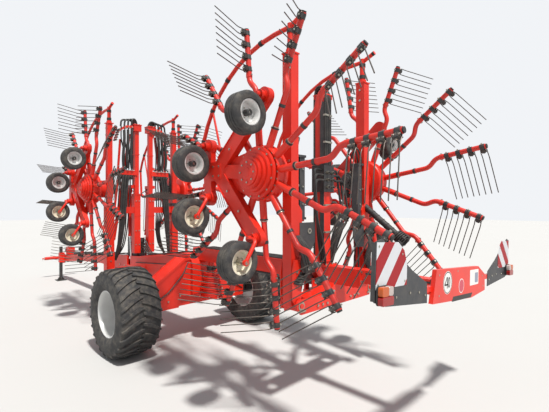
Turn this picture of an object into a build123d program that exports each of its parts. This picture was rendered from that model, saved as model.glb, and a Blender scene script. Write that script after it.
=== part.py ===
# Trailed four-rotor rotary rake, folded upright for the road and parked on its stand.
# Lengths in mm; +X is forward, +Y is the left side, +Z is up.
# X is counted from the rear masts while building and shifted by X_MID on export,
# so that the origin is the middle of the footprint on the ground.
# The left half is built and mirrored in the plane Y = 0.
import math
import os

from build123d import *

# Whole machine
X_MID = 4245
RUN_GAP = 0.05
SLIDE_GAP = 0.3
SIDE_GAP = 5

# Masts and fold pivots
REAR_X = 0
FRONT_X = 4600
PIVOT_Y = 640
PIVOT_Z = {REAR_X: 1100, FRONT_X: 860}
PIVOT_PIN_R = 25
BOSS_R = 62
BOSS_HALF = 85
BRACKET_Y = 480
BRACKET_DROP = 90
BRACKET_RISE = 40
CHEEK = 28
CHEEK_OUT = 120
CHEEK_R = 66
CHEEK_Y = 300
CHEEK_HALF = 90
PIVOT_HEAD = 15
BOOM_Y = 670
BOOM_TOP = 3640
BOOM_SIZE = (120, 110)
BOOM_WIDE = ((560, 1640), (615, 1400), (725, 1400), (725, 2250), (560, 2050))
MAST_TIP = 3950
MAST_R = 33
SLEEVE_SIZE = (150, 140)
SLEEVE_TOP = 2150
INNER_BOTTOM = 1000

# Rotors
HUB_DX = 120
HUB_Z = 2420
SHAFT_R = 60
HUB_IN = 850
HUB_OUT = 1000
HUB_R = 285
HUB_RIM = 30
# Ribbed bell on the carrier, outboard of the drum: rings as (Y, radius)
BELL = ((1015, 250), (1045, 215), (1075, 180), (1105, 150), (1135, 120))
BELL_OUT = 1150
ARM_COUNT = 12
ARM_Y = 965
ARM_R = 28.5
ARM_JOG_IN = 850
ARM_JOG_OUT = 950
ARM_JOG = 90
ARM_END = 1500
PHASE = {"rear_left": 5, "rear_right": 9, "front_left": 7, "front_right": 3}
# Swing of the tines about their arm, counted from the arm that hangs down, rearward
TINE_SWING = (45, 60, 75, 75, 60, 35, 20, 10, 5, 5, 15, 30)
TINE_R = 5
TINE_FIRST = 1045
TINE_PAIRS = 4
PAIR_PITCH = 125
IN_PAIR = 65
TINE_ROOT = 120
TINE_TIP = 412
TINE_BEND = 16

# Undercarriage of a rotor, casters as (name, X from the mast, Z, side of the fork)
BAND_Y = (1015, 1080)
BAND_W = 170
APEX = (700, 2470)
CASTERS = (
    ("top", -30, 3130, 1),
    ("low", 85, 1790, -1),
    ("fore_upper", 855, 2745, 1),
    ("fore_lower", 855, 2190, -1),
)
SWIVEL_PIN_R = 20
SLEEVE_R = 45
SLEEVE_OUT = 1135
CASTER_TRAIL = 200
CASTER_AXLE_Y = 1295
CASTER_R = 195
CASTER_W = 165
FORK_R = 19
FORK_SIDE = 114
STUB_R = 12.5

# Guard hoop in the plane of the boom; its points count from the rotor's hub
GUARD_Y = 674
GUARD_R = 25
GUARD_ARC = 1490
GUARD_TURN = (4, 70)
GUARD_TOP = 1.004
GUARD_KNEE = (0.906, -60)
GUARD_STRUT = (0.59, -160)
GUARD_ROOT = (-60, -90)
GUARD_STUB = (-170, 74)
GUARD_BRACE_TURN = 54
BRACE_R = 14

# Fold cylinders
CYL_DX = 190
CYL_PIN_R = 20
BARREL_R = 45
BARREL_START = 30
# Y and Z of the barrel's eye and of the rod's eye, and the barrel's length
CYL_REAR = ((125, 1240), (550, 1990), 735)
CYL_FRONT = ((205, 2400), (150, 1060), 900)
ROD_R = 25
ROD_IN = 100
EYE_R = 38
EYE_HALF = 40
LUG = 20
LUG_GAP = 8

# Column beside a front boom as (low, high, half width), with its cross link
COLUMN_Y = 145
COLUMN_LOW = (1180, 2340, 62)
COLUMN_HIGH = (2340, 3600, 40)
COLUMN_HEAD = (3560, 3680, 75)
COLUMN_LINK = (1960, 2080)
VALVE_Z = (2700, 2790)
VALVE_END = 520

# Main wheels
WHEEL_X = 2700
WHEEL_Y = 1200
WHEEL_R = 615
WHEEL_W = 600
RIM_R = 315
AXLE_R = 40
AXLE_IN = 830
AXLE_OUT = 1290

# Chassis: raised spine behind, side box over the axle, low spine in front
SPINE_X = (-420, 2700)
SPINE_Y = 75
SPINE_Z = (1240, 1430)
LOW_SPINE = ((2500, 5400), (0, 125), (720, 940))
SIDE_BOX = ((2500, 720), (2500, 1200), (2600, 1340), (2800, 1340), (4420, 1130), (4420, 720))
SIDE_BOX_Y = 210
SIDE_PLATE_Y = 180
# Seat of the rear cylinder lugs on the spine and the foot under it, in X and Z
REAR_LUG_SEAT = ((0, 270), (1050, 1140))
SPINE_FOOT = ((800, 1250), (720, 1050), (420, 900), (360, 930), (420, 980), (580, 1080), (550, 1250))
SPINE_FOOT_Y = 30
# Hanger of the rear fold pivots, in Y and Z
HANGER = ((0, 1250), (75, 1250), (230, 1130), (230, 1060), (0, 1060))
# Arms of the axle, in Y and Z
AXLE_X = (2560, 2840)
AXLE_ARM = ((180, 1290), (300, 1290), (870, 900), (870, 540), (420, 540), (380, 700), (180, 700))
AXLE_BEAM = ((2620, 2780), (0, 430), (545, 680))
# Hose tower between the rear booms and the bell under the spine
TOWER_X = (-15, 105)
TOWER_Y = (20, 140)
TOWER_TOP = 3340
TOWER_BOX = (2260, 2550)
UNDER_BELL_X = 2300
UNDER_BELL = ((1240, 45), (1010, 110), (930, 125), (850, 140), (770, 155))
UNDER_BELL_LOW = 690

# Side plate beside the front masts, notched for the fold cylinders
SIDE_PLATE = (
    (4400, 720),
    (4400, 1132),
    (4720, 1115),
    (4720, 930),
    (4870, 930),
    (4870, 1105),
    (5300, 1090),
    (5450, 960),
    (5450, 720),
)

# Drawbar, stand and headstock
NECK = ((4940, 720), (4940, 1080), (5250, 1080), (5600, 1030), (5600, 800))
NECK_HALF = 150
DRAWBAR_HALF = 90
DRAWBAR_TOP = ((5200, 1080), (6500, 950), (8000, 840), (9615, 662))
DRAWBAR_UNDER = ((9615, 482), (8000, 680), (6500, 770), (5200, 730))
NOSE_R = 60
NOSE_HALF = 100
SLEEVE_Z = (510, 780)
SLEEVE_WALL = 15
STAND_X = 9300
STAND_Y = 160
STAND_SIZE = 70
NOSE_X = 9660
NOSE_Z = 570
NOSE_PIN_R = 30
HITCH_X = 9920
HITCH_SHOULDER = 412.5
HITCH_PIN_R = 18.3
HITCH_PIN_L = 60
PTO_R = 17.45
PTO_X = (9050, 9176)
PTO_Z = 860
PTO_BOX = ((8900, 9100), (0, 85), (700, 950))

# Rear panel, corner plates, boards and lamps, which all hang with a tilt
REAR_TILT = 3.5
REAR_Z = 1450
REAR_BEAM_Z = (1290, 1430)
ARM_SIZE = 40
ARM_REACH = 1200
ARM_Z = (1410, 1450)
PANEL_X = -1430
PANEL_DEEP = 30
PANEL = ((585, 1575), (645, 1320), (-210, 1280), (-590, 1315), (-580, 1470), (-390, 1555))
BOARD_X = -1415
SHEET = 6
PLATE = (
    (1475, 1425),
    (1475, 1795),
    (1400, 1812),
    (1165, 1700),
    (970, 1592),
    (725, 1486),
    (715, 1336),
    (1330, 1384),
)
BOARD = ((1060, 1500), (1060, 1640), (1105, 1735), (1190, 1790), (1465, 1790), (1465, 1500))
LAMP_Y = (1325, 1470)
LAMP_Z = (1405, 1525)
LAMP_DEEP = 48


def block(x, y, z):
    """Box between the given (low, high) limits on the three axes."""
    size = (x[1] - x[0], y[1] - y[0], z[1] - z[0])
    middle = ((x[0] + x[1]) / 2, (y[0] + y[1]) / 2, (z[0] + z[1]) / 2)
    return Pos(*middle) * Box(*size)


def rod(start, end, radius):
    """Round bar between two points."""
    a = Vector(*start)
    b = Vector(*end)
    plane = Plane(origin=a, z_dir=b - a)
    return plane * Cylinder(radius, (b - a).length, align=(Align.CENTER, Align.CENTER, Align.MIN))


def pipe(points, radius):
    """Round bar along a chain of points, with mitred corners."""
    path = Polyline(*[Vector(*p) for p in points])
    plane = Plane(origin=path @ 0, z_dir=path % 0)
    return sweep(plane * Circle(radius), path=path, transition=Transition.RIGHT)


def slab(points, y_low, y_high):
    """Plate with an outline in X and Z, standing between two values of Y."""
    face = Plane.XZ * Polygon(*points, align=None)
    return Pos(0, y_low, 0) * extrude(face, y_high - y_low, dir=(0, 1, 0))


def gusset(points, x_low, x_high):
    """Plate with an outline in Y and Z, standing between two values of X."""
    face = Plane.YZ * Polygon(*points, align=None)
    return Pos(x_low, 0, 0) * extrude(face, x_high - x_low, dir=(1, 0, 0))


def bar(p, q, width, y_low, y_high):
    """Flat box section between two points in X and Z."""
    dx = q[0] - p[0]
    dz = q[1] - p[1]
    length = math.hypot(dx, dz)
    nx = -dz / length * width / 2
    nz = dx / length * width / 2
    outline = [
        (p[0] + nx, p[1] + nz),
        (q[0] + nx, q[1] + nz),
        (q[0] - nx, q[1] - nz),
        (p[0] - nx, p[1] - nz),
    ]
    return slab(outline, y_low, y_high)


def tine_arm(theta, swing):
    """One arm of a rotor with its tines, hub at the origin, outboard along +Y."""
    t = math.radians(theta)
    out = (-math.sin(t), -math.cos(t))
    side = (-math.cos(t), math.sin(t))

    def place(r, offset, y):
        return (r * out[0] + offset * side[0], y, r * out[1] + offset * side[1])

    def along(start, length, angle):
        a = math.radians(angle)
        flat = -length * math.sin(a)
        return (
            start[0] + flat * side[0],
            start[1] + length * math.cos(a),
            start[2] + flat * side[1],
        )

    arm = pipe(
        [
            place(HUB_R - HUB_RIM, 0, ARM_Y),
            place(ARM_JOG_IN, 0, ARM_Y),
            place(ARM_JOG_OUT, ARM_JOG, ARM_Y),
            place(ARM_END, ARM_JOG, ARM_Y),
        ],
        ARM_R,
    )
    tines = []
    for pair in range(TINE_PAIRS):
        for k in range(2):
            radius = TINE_FIRST + pair * PAIR_PITCH + k * IN_PAIR
            root = place(radius, ARM_JOG, ARM_Y)
            bend = along(root, TINE_ROOT, swing - TINE_BEND)
            tip = along(bend, TINE_TIP, swing)
            tines.append(pipe([root, bend, tip], TINE_R))
    return arm + tines


def rotor_body():
    """Hub drum with its tine arms round the origin, without the rotor's phase."""
    drum = rod((0, HUB_IN, 0), (0, HUB_OUT, 0), HUB_R)
    drum = fillet(drum.edges().filter_by(GeomType.CIRCLE), 18)
    arms = [tine_arm(360 / ARM_COUNT * n, TINE_SWING[n]) for n in range(ARM_COUNT)]
    body = drum + arms
    return body - rod((0, HUB_IN - 5, 0), (0, HUB_OUT + 5, 0), SHAFT_R + RUN_GAP)


def carrier(mast_x):
    """Central shaft with the flat bands and swivel sleeves of the four casters."""
    hub_x = mast_x + HUB_DX
    apex = (mast_x + APEX[0], APEX[1])
    places = {name: (mast_x + x, z) for name, x, z, _ in CASTERS}
    body = rod((hub_x, HUB_IN - 30, HUB_Z), (hub_x, BAND_Y[1], HUB_Z), SHAFT_R)
    parts = [
        bar(apex, places["top"], BAND_W, *BAND_Y),
        bar(apex, places["low"], BAND_W, *BAND_Y),
        bar((hub_x - 60, HUB_Z), apex, 140, *BAND_Y),
        bar(places["fore_upper"], places["fore_lower"], 120, *BAND_Y),
        bar(apex, (mast_x + 870, APEX[1]), 200, *BAND_Y),
        slab(
            [
                (hub_x, HUB_Z + 235),
                (apex[0] + 60, apex[1] + 70),
                (apex[0] + 60, apex[1] - 70),
                (hub_x + 80, HUB_Z - 235),
                (hub_x, HUB_Z - 235),
            ],
            BAND_Y[0],
            BAND_Y[0] + 20,
        ),
    ]
    for (low, radius), (high, _) in zip(BELL, BELL[1:] + ((BELL_OUT, 0),)):
        parts.append(rod((hub_x, low, HUB_Z), (hub_x, high, HUB_Z), radius))
    for x, z in places.values():
        parts.append(rod((x, BAND_Y[0], z), (x, BAND_Y[1], z), BAND_W / 2))
        parts.append(rod((x, BAND_Y[0], z), (x, SLEEVE_OUT, z), SLEEVE_R))
    body = body + parts
    for x, z in places.values():
        body = body - rod((x, BAND_Y[0] + 15, z), (x, SLEEVE_OUT + 5, z), SWIVEL_PIN_R + RUN_GAP)
    return body


def caster_fork(mast_x, x, z, side):
    """Bent tube with its swivel pin and stub axle."""
    sx = mast_x + x
    end_z = z - CASTER_TRAIL
    tube_x = sx + side * FORK_SIDE
    pin = rod((sx, BAND_Y[0] + 20, z), (sx, SLEEVE_OUT + SIDE_GAP, z), SWIVEL_PIN_R)
    collar = rod((sx, SLEEVE_OUT + SIDE_GAP, z), (sx, SLEEVE_OUT + 40, z), 30)
    tube = pipe(
        [
            (sx, SLEEVE_OUT + 27, z),
            (tube_x, SLEEVE_OUT + 27, z),
            (tube_x, CASTER_AXLE_Y, end_z),
        ],
        FORK_R,
    )
    knuckle = rod(
        (tube_x - side * 14, CASTER_AXLE_Y, end_z), (tube_x + side * 16, CASTER_AXLE_Y, end_z), 28
    )
    stub = rod((tube_x, CASTER_AXLE_Y, end_z), (sx - side * 55, CASTER_AXLE_Y, end_z), STUB_R)
    return pin + [collar, tube, knuckle, stub]


def wheel_profile(radius, width, rim, hub, hub_in, hub_out, bore, disc):
    """Half section of a wheel, radius along X and the axle along Y of the sketch."""
    half = width / 2
    crown = radius * 0.955
    return [
        (bore, hub_in),
        (hub, hub_in),
        (hub, disc[0]),
        (rim - 22, disc[0]),
        (rim - 22, -half * 0.86),
        (rim, -half * 0.86),
        (rim + 12, -half),
        (crown - 22, -half),
        (crown, -half * 0.9),
        (radius, -half * 0.62),
        (radius, half * 0.62),
        (crown, half * 0.9),
        (crown - 22, half),
        (rim + 12, half),
        (rim, half * 0.86),
        (rim - 22, half * 0.86),
        (rim - 22, disc[1]),
        (hub, disc[1]),
        (hub, hub_out),
        (bore, hub_out),
    ]


def turned(profile, centre, axis):
    """Revolve a half section and lay its axle along the given direction."""
    face = Plane.XY * Polygon(*profile, align=None)
    body = revolve(face, Axis.Y)
    turn = Rot(0, 0, 0) if axis == "y" else Rot(0, 0, -90)
    return Pos(*centre) * turn * body


def caster_wheel(mast_x, x, z, side):
    """Small tyre and rim on its stub axle along X."""
    profile = wheel_profile(
        CASTER_R, CASTER_W, 112, 32, -62, 75, STUB_R + RUN_GAP, (4, 14)
    )
    if side < 0:
        profile = [(r, -y) for r, y in reversed(profile)]
    return turned(profile, (mast_x + x, CASTER_AXLE_Y, z - CASTER_TRAIL), "x")


def guard(mast_x):
    """Hoop over the upper front quarter of a rotor, with its lower struts."""
    hub_x = mast_x + HUB_DX
    top = (mast_x, GUARD_Y, HUB_Z + GUARD_ARC * GUARD_TOP)

    def on_arc(angle):
        a = math.radians(angle)
        return (hub_x + GUARD_ARC * math.sin(a), GUARD_Y, HUB_Z + GUARD_ARC * math.cos(a))

    steps = 8
    first, last = GUARD_TURN
    knee = (hub_x + GUARD_ARC * GUARD_KNEE[0], GUARD_Y, HUB_Z + GUARD_KNEE[1])
    strut = (hub_x + GUARD_ARC * GUARD_STRUT[0], GUARD_Y, HUB_Z + GUARD_STRUT[1])
    root = (hub_x + GUARD_ROOT[0], GUARD_Y, HUB_Z + GUARD_ROOT[1])
    arc = [on_arc(first + (last - first) * n / steps) for n in range(steps + 1)]
    hoop = pipe([top, *arc, knee, strut, root], GUARD_R)
    stub = rod(top, (mast_x + GUARD_STUB[0], GUARD_Y, top[2] + GUARD_STUB[1]), GUARD_R)
    return hoop + [stub, rod(strut, on_arc(GUARD_BRACE_TURN), BRACE_R)]


def gear_head(mast_x):
    """Fixed head between a boom and the rotor's central shaft."""
    hub_x = mast_x + HUB_DX
    dome = rod((hub_x, 720, HUB_Z), (hub_x, HUB_IN - 30, HUB_Z), 150)
    plate = block((mast_x - 60, hub_x + 120), (BOOM_Y - 55, 725), (HUB_Z - 160, HUB_Z + 160))
    return dome + plate


def mast_tip(mast_x):
    """Thin tube that carries the boom on to the guard."""
    low = rod((mast_x, BOOM_Y, BOOM_TOP - 20), (mast_x, BOOM_Y, MAST_TIP), MAST_R)
    return low


def boom_foot(mast_x):
    """Pivot boss of a boom, its axis along X."""
    z = PIVOT_Z[mast_x]
    return rod((mast_x - BOSS_HALF, PIVOT_Y, z), (mast_x + BOSS_HALF, PIVOT_Y, z), BOSS_R)


def rear_boom_lug():
    """Lug and pin on a rear boom beside the open eye of its piston rod."""
    y, z = CYL_REAR[1]
    x = REAR_X
    lug = block((x - 40, x + 60), (y - 45, BOOM_Y - 50), (z - 50, z + 50))
    return [lug, rod((x, y, z), (x + CYL_DX - EYE_HALF - LUG_GAP, y, z), CYL_PIN_R)]


def bore_of_pivot(mast_x):
    """Cutter for the bore of a fold pivot."""
    z = PIVOT_Z[mast_x]
    reach = BOSS_HALF + 5
    return rod((mast_x - reach, PIVOT_Y, z), (mast_x + reach, PIVOT_Y, z), PIVOT_PIN_R + RUN_GAP)


def boom_rear():
    """Rear boom with its gear head and guard."""
    x = REAR_X
    half = BOOM_SIZE[0] / 2
    beam = block(
        (x - half, x + half),
        (BOOM_Y - BOOM_SIZE[1] / 2, BOOM_Y + BOOM_SIZE[1] / 2),
        (PIVOT_Z[x], BOOM_TOP),
    )
    wide = gusset(BOOM_WIDE, x - half, x + half)
    body = beam + [wide, boom_foot(x), gear_head(x), mast_tip(x), guard(x)] + rear_boom_lug()
    return body - bore_of_pivot(x)


def boom_front():
    """Front boom: a box sleeve on the fold pivot."""
    x = FRONT_X
    hx = SLEEVE_SIZE[0] / 2
    hy = SLEEVE_SIZE[1] / 2
    sleeve = block((x - hx, x + hx), (BOOM_Y - hy, BOOM_Y + hy), (PIVOT_Z[x], SLEEVE_TOP))
    hole = block(
        (x - BOOM_SIZE[0] / 2 + 10 - SLIDE_GAP, x + BOOM_SIZE[0] / 2 - 10 + SLIDE_GAP),
        (BOOM_Y - 45 - SLIDE_GAP, BOOM_Y + 45 + SLIDE_GAP),
        (INNER_BOTTOM - 10, SLEEVE_TOP + 10),
    )
    body = sleeve + boom_foot(x)
    return body - hole - bore_of_pivot(x) + column(x)


def column(mast_x):
    """Column that carries the hoses beside a front boom, with its cross link."""
    parts = []
    for low, high, half in (COLUMN_LOW, COLUMN_HIGH, COLUMN_HEAD):
        parts.append(
            block((mast_x - half, mast_x + half), (COLUMN_Y - half, COLUMN_Y + half), (low, high))
        )
    inner = BOOM_Y - SLEEVE_SIZE[1] / 2
    parts.append(block((mast_x - 50, mast_x + 50), (COLUMN_Y, inner + 5), COLUMN_LINK))
    parts.append(block((mast_x - 60, mast_x + 60), (COLUMN_Y, VALVE_END), VALVE_Z))
    y, z = CYL_FRONT[0]
    reach = CYL_DX + EYE_HALF + LUG_GAP + LUG
    arm_low = z + EYE_R + 12
    parts.append(block((mast_x, mast_x + reach), (y - 45, y + 45), (arm_low, arm_low + 60)))
    return parts + clevis(mast_x + CYL_DX, (y, z), z - EYE_R, arm_low + 5)


def undercarriage_front():
    """Inner telescope of a front boom with its gear head, guard and caster carrier."""
    x = FRONT_X
    low = block(
        (x - BOOM_SIZE[0] / 2 + 10, x + BOOM_SIZE[0] / 2 - 10),
        (BOOM_Y - 45, BOOM_Y + 45),
        (INNER_BOTTOM, BOOM_TOP),
    )
    return low + [gear_head(x), mast_tip(x), guard(x), carrier(x)]


def rotor(mast_x, phase):
    """Rotor turned to its phase and set on its hub axis."""
    return Pos(mast_x + HUB_DX, 0, HUB_Z) * Rot(0, phase, 0) * ROTOR


def barrel(mast_x, base_at, eye_at, length):
    """Barrel of a fold cylinder with its eye at the far end."""
    x = mast_x + CYL_DX
    base = Vector(x, *base_at)
    way = (Vector(x, *eye_at) - base).normalized()
    end = base + way * length
    eye = rod((x - EYE_HALF, *base_at), (x + EYE_HALF, *base_at), EYE_R)
    body = eye + rod(base + way * BARREL_START, end, BARREL_R)
    body = body - rod(base + way * (ROD_IN - 5), end + way * 5, ROD_R + RUN_GAP)
    return body - rod(
        (x - EYE_HALF - 5, *base_at), (x + EYE_HALF + 5, *base_at), CYL_PIN_R + RUN_GAP
    )


def piston_rod(mast_x, base_at, eye_at):
    """Rod of a fold cylinder with its open eye."""
    x = mast_x + CYL_DX
    base = Vector(x, *base_at)
    tip = Vector(x, *eye_at)
    way = (tip - base).normalized()
    eye = rod((x - EYE_HALF, *eye_at), (x + EYE_HALF, *eye_at), EYE_R)
    eye = eye + rod(base + way * ROD_IN, tip, ROD_R)
    return eye - rod(
        (x - EYE_HALF - 5, *eye_at), (x + EYE_HALF + 5, *eye_at), CYL_PIN_R + RUN_GAP
    )


def fold_bracket(mast_x):
    """Clevis plates and pivot pin on the left half of the frame."""
    z = PIVOT_Z[mast_x]
    low, high = z - BRACKET_DROP, z + BRACKET_RISE
    parts = [block((mast_x - CHEEK_OUT, mast_x + CHEEK_OUT), (0, BRACKET_Y), (low, high))]
    for low in (mast_x - CHEEK_OUT, mast_x + CHEEK_OUT - CHEEK):
        high = low + CHEEK
        parts.append(block((low, high), (CHEEK_Y, PIVOT_Y), (z - CHEEK_HALF, z + CHEEK_HALF - 30)))
        parts.append(rod((low, PIVOT_Y, z), (high, PIVOT_Y, z), CHEEK_R))
    reach = CHEEK_OUT + PIVOT_HEAD
    parts.append(rod((mast_x - reach, PIVOT_Y, z), (mast_x + reach, PIVOT_Y, z), PIVOT_PIN_R))
    return parts


def clevis(x, at, low, high):
    """Two lugs beside a cylinder's eye with the pin through them."""
    y, z = at
    reach = EYE_HALF + LUG_GAP + LUG
    parts = [rod((x - reach, y, z), (x + reach, y, z), CYL_PIN_R)]
    for start in (x - reach, x + reach - LUG):
        parts.append(block((start, start + LUG), (y - EYE_R, y + EYE_R), (low, high)))
    return parts


def rear_cylinder_lugs():
    """Clevis of a rear barrel on the frame."""
    at = CYL_REAR[0]
    return clevis(REAR_X + CYL_DX, at, REAR_LUG_SEAT[1][0], at[1] + EYE_R)


def front_cylinder_lug():
    """Single lug beside the open eye of a front piston rod."""
    x = FRONT_X + CYL_DX - EYE_HALF - LUG_GAP
    y, z = CYL_FRONT[1]
    lug = block((x - LUG, x), (y - EYE_R, y + EYE_R), (900, z + EYE_R))
    return [lug, rod((x - 2 * LUG, y, z), (x, y, z), CYL_PIN_R)]


def half_frame():
    """Left half of the chassis, cut at the plane Y = 0."""
    parts = [
        slab(SIDE_BOX, 0, SIDE_BOX_Y),
        slab(SIDE_PLATE, SIDE_PLATE_Y, SIDE_BOX_Y),
        slab(NECK, 0, NECK_HALF),
        slab(DRAWBAR_TOP + DRAWBAR_UNDER, 0, DRAWBAR_HALF),
        block(SPINE_X, (0, SPINE_Y), SPINE_Z),
        block(REAR_LUG_SEAT[0], (0, CYL_REAR[0][0] + EYE_R), REAR_LUG_SEAT[1]),
        slab(SPINE_FOOT, 0, SPINE_FOOT_Y),
        gusset(HANGER, REAR_X - CHEEK_OUT, REAR_X + CHEEK_OUT),
        gusset(AXLE_ARM, *AXLE_X),
        block(*AXLE_BEAM),
        rod((WHEEL_X, AXLE_IN, WHEEL_R), (WHEEL_X, AXLE_OUT, WHEEL_R), AXLE_R),
        rod((NOSE_X, 0, NOSE_Z - NOSE_HALF), (NOSE_X, 0, NOSE_Z + NOSE_HALF), NOSE_R),
        block(*PTO_BOX),
        rod((PTO_X[0], 0, PTO_Z), (PTO_X[1], 0, PTO_Z), PTO_R),
    ]
    parts += fold_bracket(REAR_X) + rear_cylinder_lugs()
    parts += fold_bracket(FRONT_X) + front_cylinder_lug()
    for (high, radius), (low, _) in zip(UNDER_BELL, UNDER_BELL[1:] + ((UNDER_BELL_LOW, 0),)):
        parts.append(rod((UNDER_BELL_X, 0, low), (UNDER_BELL_X, 0, high), radius))
    body = block(*LOW_SPINE) + parts
    return body & block((-3000, 11000), (0, 2000), (0, 4000))


def main_frame():
    """Chassis with drawbar, axle, fold brackets and stand sleeve."""
    left = half_frame()
    body = left + mirror(left, about=Plane.XZ)
    half = STAND_SIZE / 2
    outer = half + SLEEVE_WALL
    inner = half + SLIDE_GAP
    sleeve = block(
        (STAND_X - outer, STAND_X + outer), (DRAWBAR_HALF - 10, STAND_Y + outer), SLEEVE_Z
    )
    hole = block(
        (STAND_X - inner, STAND_X + inner),
        (STAND_Y - inner, STAND_Y + inner),
        (SLEEVE_Z[0] - 100, SLEEVE_Z[1] + 100),
    )
    body = body + sleeve + tower() - hole
    low, high = NOSE_Z - 2 * NOSE_HALF, NOSE_Z + 2 * NOSE_HALF
    return body - rod((NOSE_X, 0, low), (NOSE_X, 0, high), NOSE_PIN_R + RUN_GAP)


def tower():
    """Hose tower on the spine with its foot, head and valve box."""
    foot = SPINE_Z[1]
    x0, x1 = TOWER_X
    y0, y1 = TOWER_Y
    return [
        block((x0 - 40, x1 + 40), (-SPINE_Y, y1 + 10), (foot - 5, foot + 14)),
        block(TOWER_X, TOWER_Y, (foot, TOWER_TOP)),
        block((x0 - 15, x1 + 15), (y0 - 15, y1 + 15), (TOWER_TOP - 40, TOWER_TOP)),
        block((x0 - 25, x1 + 25), (y0 - 30, y1 + 30), TOWER_BOX),
    ]


def parking_stand():
    """Sliding leg with its foot on the ground."""
    half = STAND_SIZE / 2
    leg = block(
        (STAND_X - half, STAND_X + half), (STAND_Y - half, STAND_Y + half), (15, 950)
    )
    foot = block((STAND_X - 120, STAND_X + 120), (STAND_Y - 120, STAND_Y + 120), (0, 20))
    return leg + foot


def headstock():
    """Yoke on the nose pin with the cross shaft and its two lower hitch pins."""
    low = NOSE_Z - 100 - SIDE_GAP
    high = NOSE_Z + 100 + SIDE_GAP
    body = rod((NOSE_X, 0, low - 25), (NOSE_X, 0, high + 25), NOSE_PIN_R)
    parts = [
        rod((NOSE_X, 0, low - 25), (NOSE_X, 0, low), 60),
        rod((NOSE_X, 0, high), (NOSE_X, 0, high + 25), 60),
        block((NOSE_X, HITCH_X), (-50, 50), (low - 25, low)),
        block((NOSE_X, HITCH_X), (-50, 50), (high, high + 25)),
        block((NOSE_X + 85, HITCH_X), (-50, 50), (low - 25, high + 25)),
        rod((HITCH_X, -HITCH_SHOULDER, NOSE_Z), (HITCH_X, HITCH_SHOULDER, NOSE_Z), 45),
    ]
    reach = HITCH_SHOULDER + HITCH_PIN_L
    parts.append(rod((HITCH_X, -reach, NOSE_Z), (HITCH_X, reach, NOSE_Z), HITCH_PIN_R))
    return body + parts


def tilted(body):
    """Tilt what hangs at the rear about the machine's long axis."""
    turn = Pos(0, 0, REAR_Z) * Rot(REAR_TILT, 0, 0) * Pos(0, 0, -REAR_Z)
    return turn * body


def both(left):
    """A left shape with its mirror image."""
    return left + mirror(left, about=Plane.XZ)


def rear_panel():
    """Beam behind the frame with the panel across its end and the cross arms."""
    beam = block((PANEL_X + SHEET, SPINE_X[0]), (-60, 60), REAR_BEAM_Z)
    panel = gusset(PANEL, PANEL_X - SHEET, PANEL_X + PANEL_DEEP)
    arm = block((BOARD_X, BOARD_X + ARM_SIZE), (-ARM_REACH, ARM_REACH), ARM_Z)
    return beam + [tilted(panel), tilted(arm)]


def sign_boards():
    """Corner plates of the rear lights with the striped boards on them."""
    plate = gusset(PLATE, BOARD_X - SHEET, BOARD_X)
    board = gusset(BOARD, BOARD_X - 2 * SHEET, BOARD_X - SHEET)
    return tilted(both(plate + board))


def tail_lamps():
    """Rear lamps below the outer ends of the boards."""
    rear = BOARD_X - 2 * SHEET
    lamp = block((rear - LAMP_DEEP, rear), LAMP_Y, LAMP_Z)
    lamp = fillet(lamp.edges().filter_by(Axis.X), 30)
    return tilted(both(lamp))


def main_wheel():
    """Flotation tyre on a deep rim, out to the tips of its lugs."""
    profile = wheel_profile(
        WHEEL_R, WHEEL_W, RIM_R, 110, -230, 80, AXLE_R + RUN_GAP, (-60, -30)
    )
    return turned(profile, (WHEEL_X, WHEEL_Y, WHEEL_R), "y")


def save(name, body):
    """Shift a node to the origin of the machine and write it."""
    placed = Pos(-X_MID, 0, 0) * body
    placed.label = name
    export_step(placed, f"parts/{name}.step")


def save_pair(stem, body):
    """Write a left node and its mirror image."""
    save(f"{stem}_left", body)
    save(f"{stem}_right", mirror(body, about=Plane.XZ))


def save_casters(place, mast_x):
    """Write the forks and wheels of the two rotors at one mast."""
    for name, x, z, side in CASTERS:
        save_pair(f"caster_fork_{place}_{name}", caster_fork(mast_x, x, z, side))
        save_pair(f"caster_wheel_{place}_{name}", caster_wheel(mast_x, x, z, side))


ROTOR = rotor_body()

os.makedirs("parts", exist_ok=True)
save("main_frame", main_frame())
save("rear_panel", rear_panel())
save("sign_boards", sign_boards())
save("tail_lamps", tail_lamps())
save("headstock", headstock())
save("parking_stand", parking_stand())
save_pair("main_wheel", main_wheel())
save_pair("boom_rear", boom_rear())
save_pair("boom_front", boom_front())
save_pair("undercarriage_rear", carrier(REAR_X))
save_pair("undercarriage_front", undercarriage_front())
for place, mast_x, cylinder in (("rear", REAR_X, CYL_REAR), ("front", FRONT_X, CYL_FRONT)):
    save(f"rotor_{place}_left", rotor(mast_x, PHASE[f"{place}_left"]))
    right = mirror(rotor(mast_x, PHASE[f"{place}_right"]), about=Plane.XZ)
    save(f"rotor_{place}_right", right)
    save_pair(f"fold_barrel_{place}", barrel(mast_x, *cylinder))
    save_pair(f"fold_rod_{place}", piston_rod(mast_x, *cylinder[:2]))
    save_casters(place, mast_x)
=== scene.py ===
"""Looks of a trailed four-rotor rotary rake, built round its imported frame."""

import logging
import math
from collections.abc import Mapping, Sequence
from dataclasses import dataclass, field, replace
from enum import Enum

import bpy
from mathutils import Matrix, Vector

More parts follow.
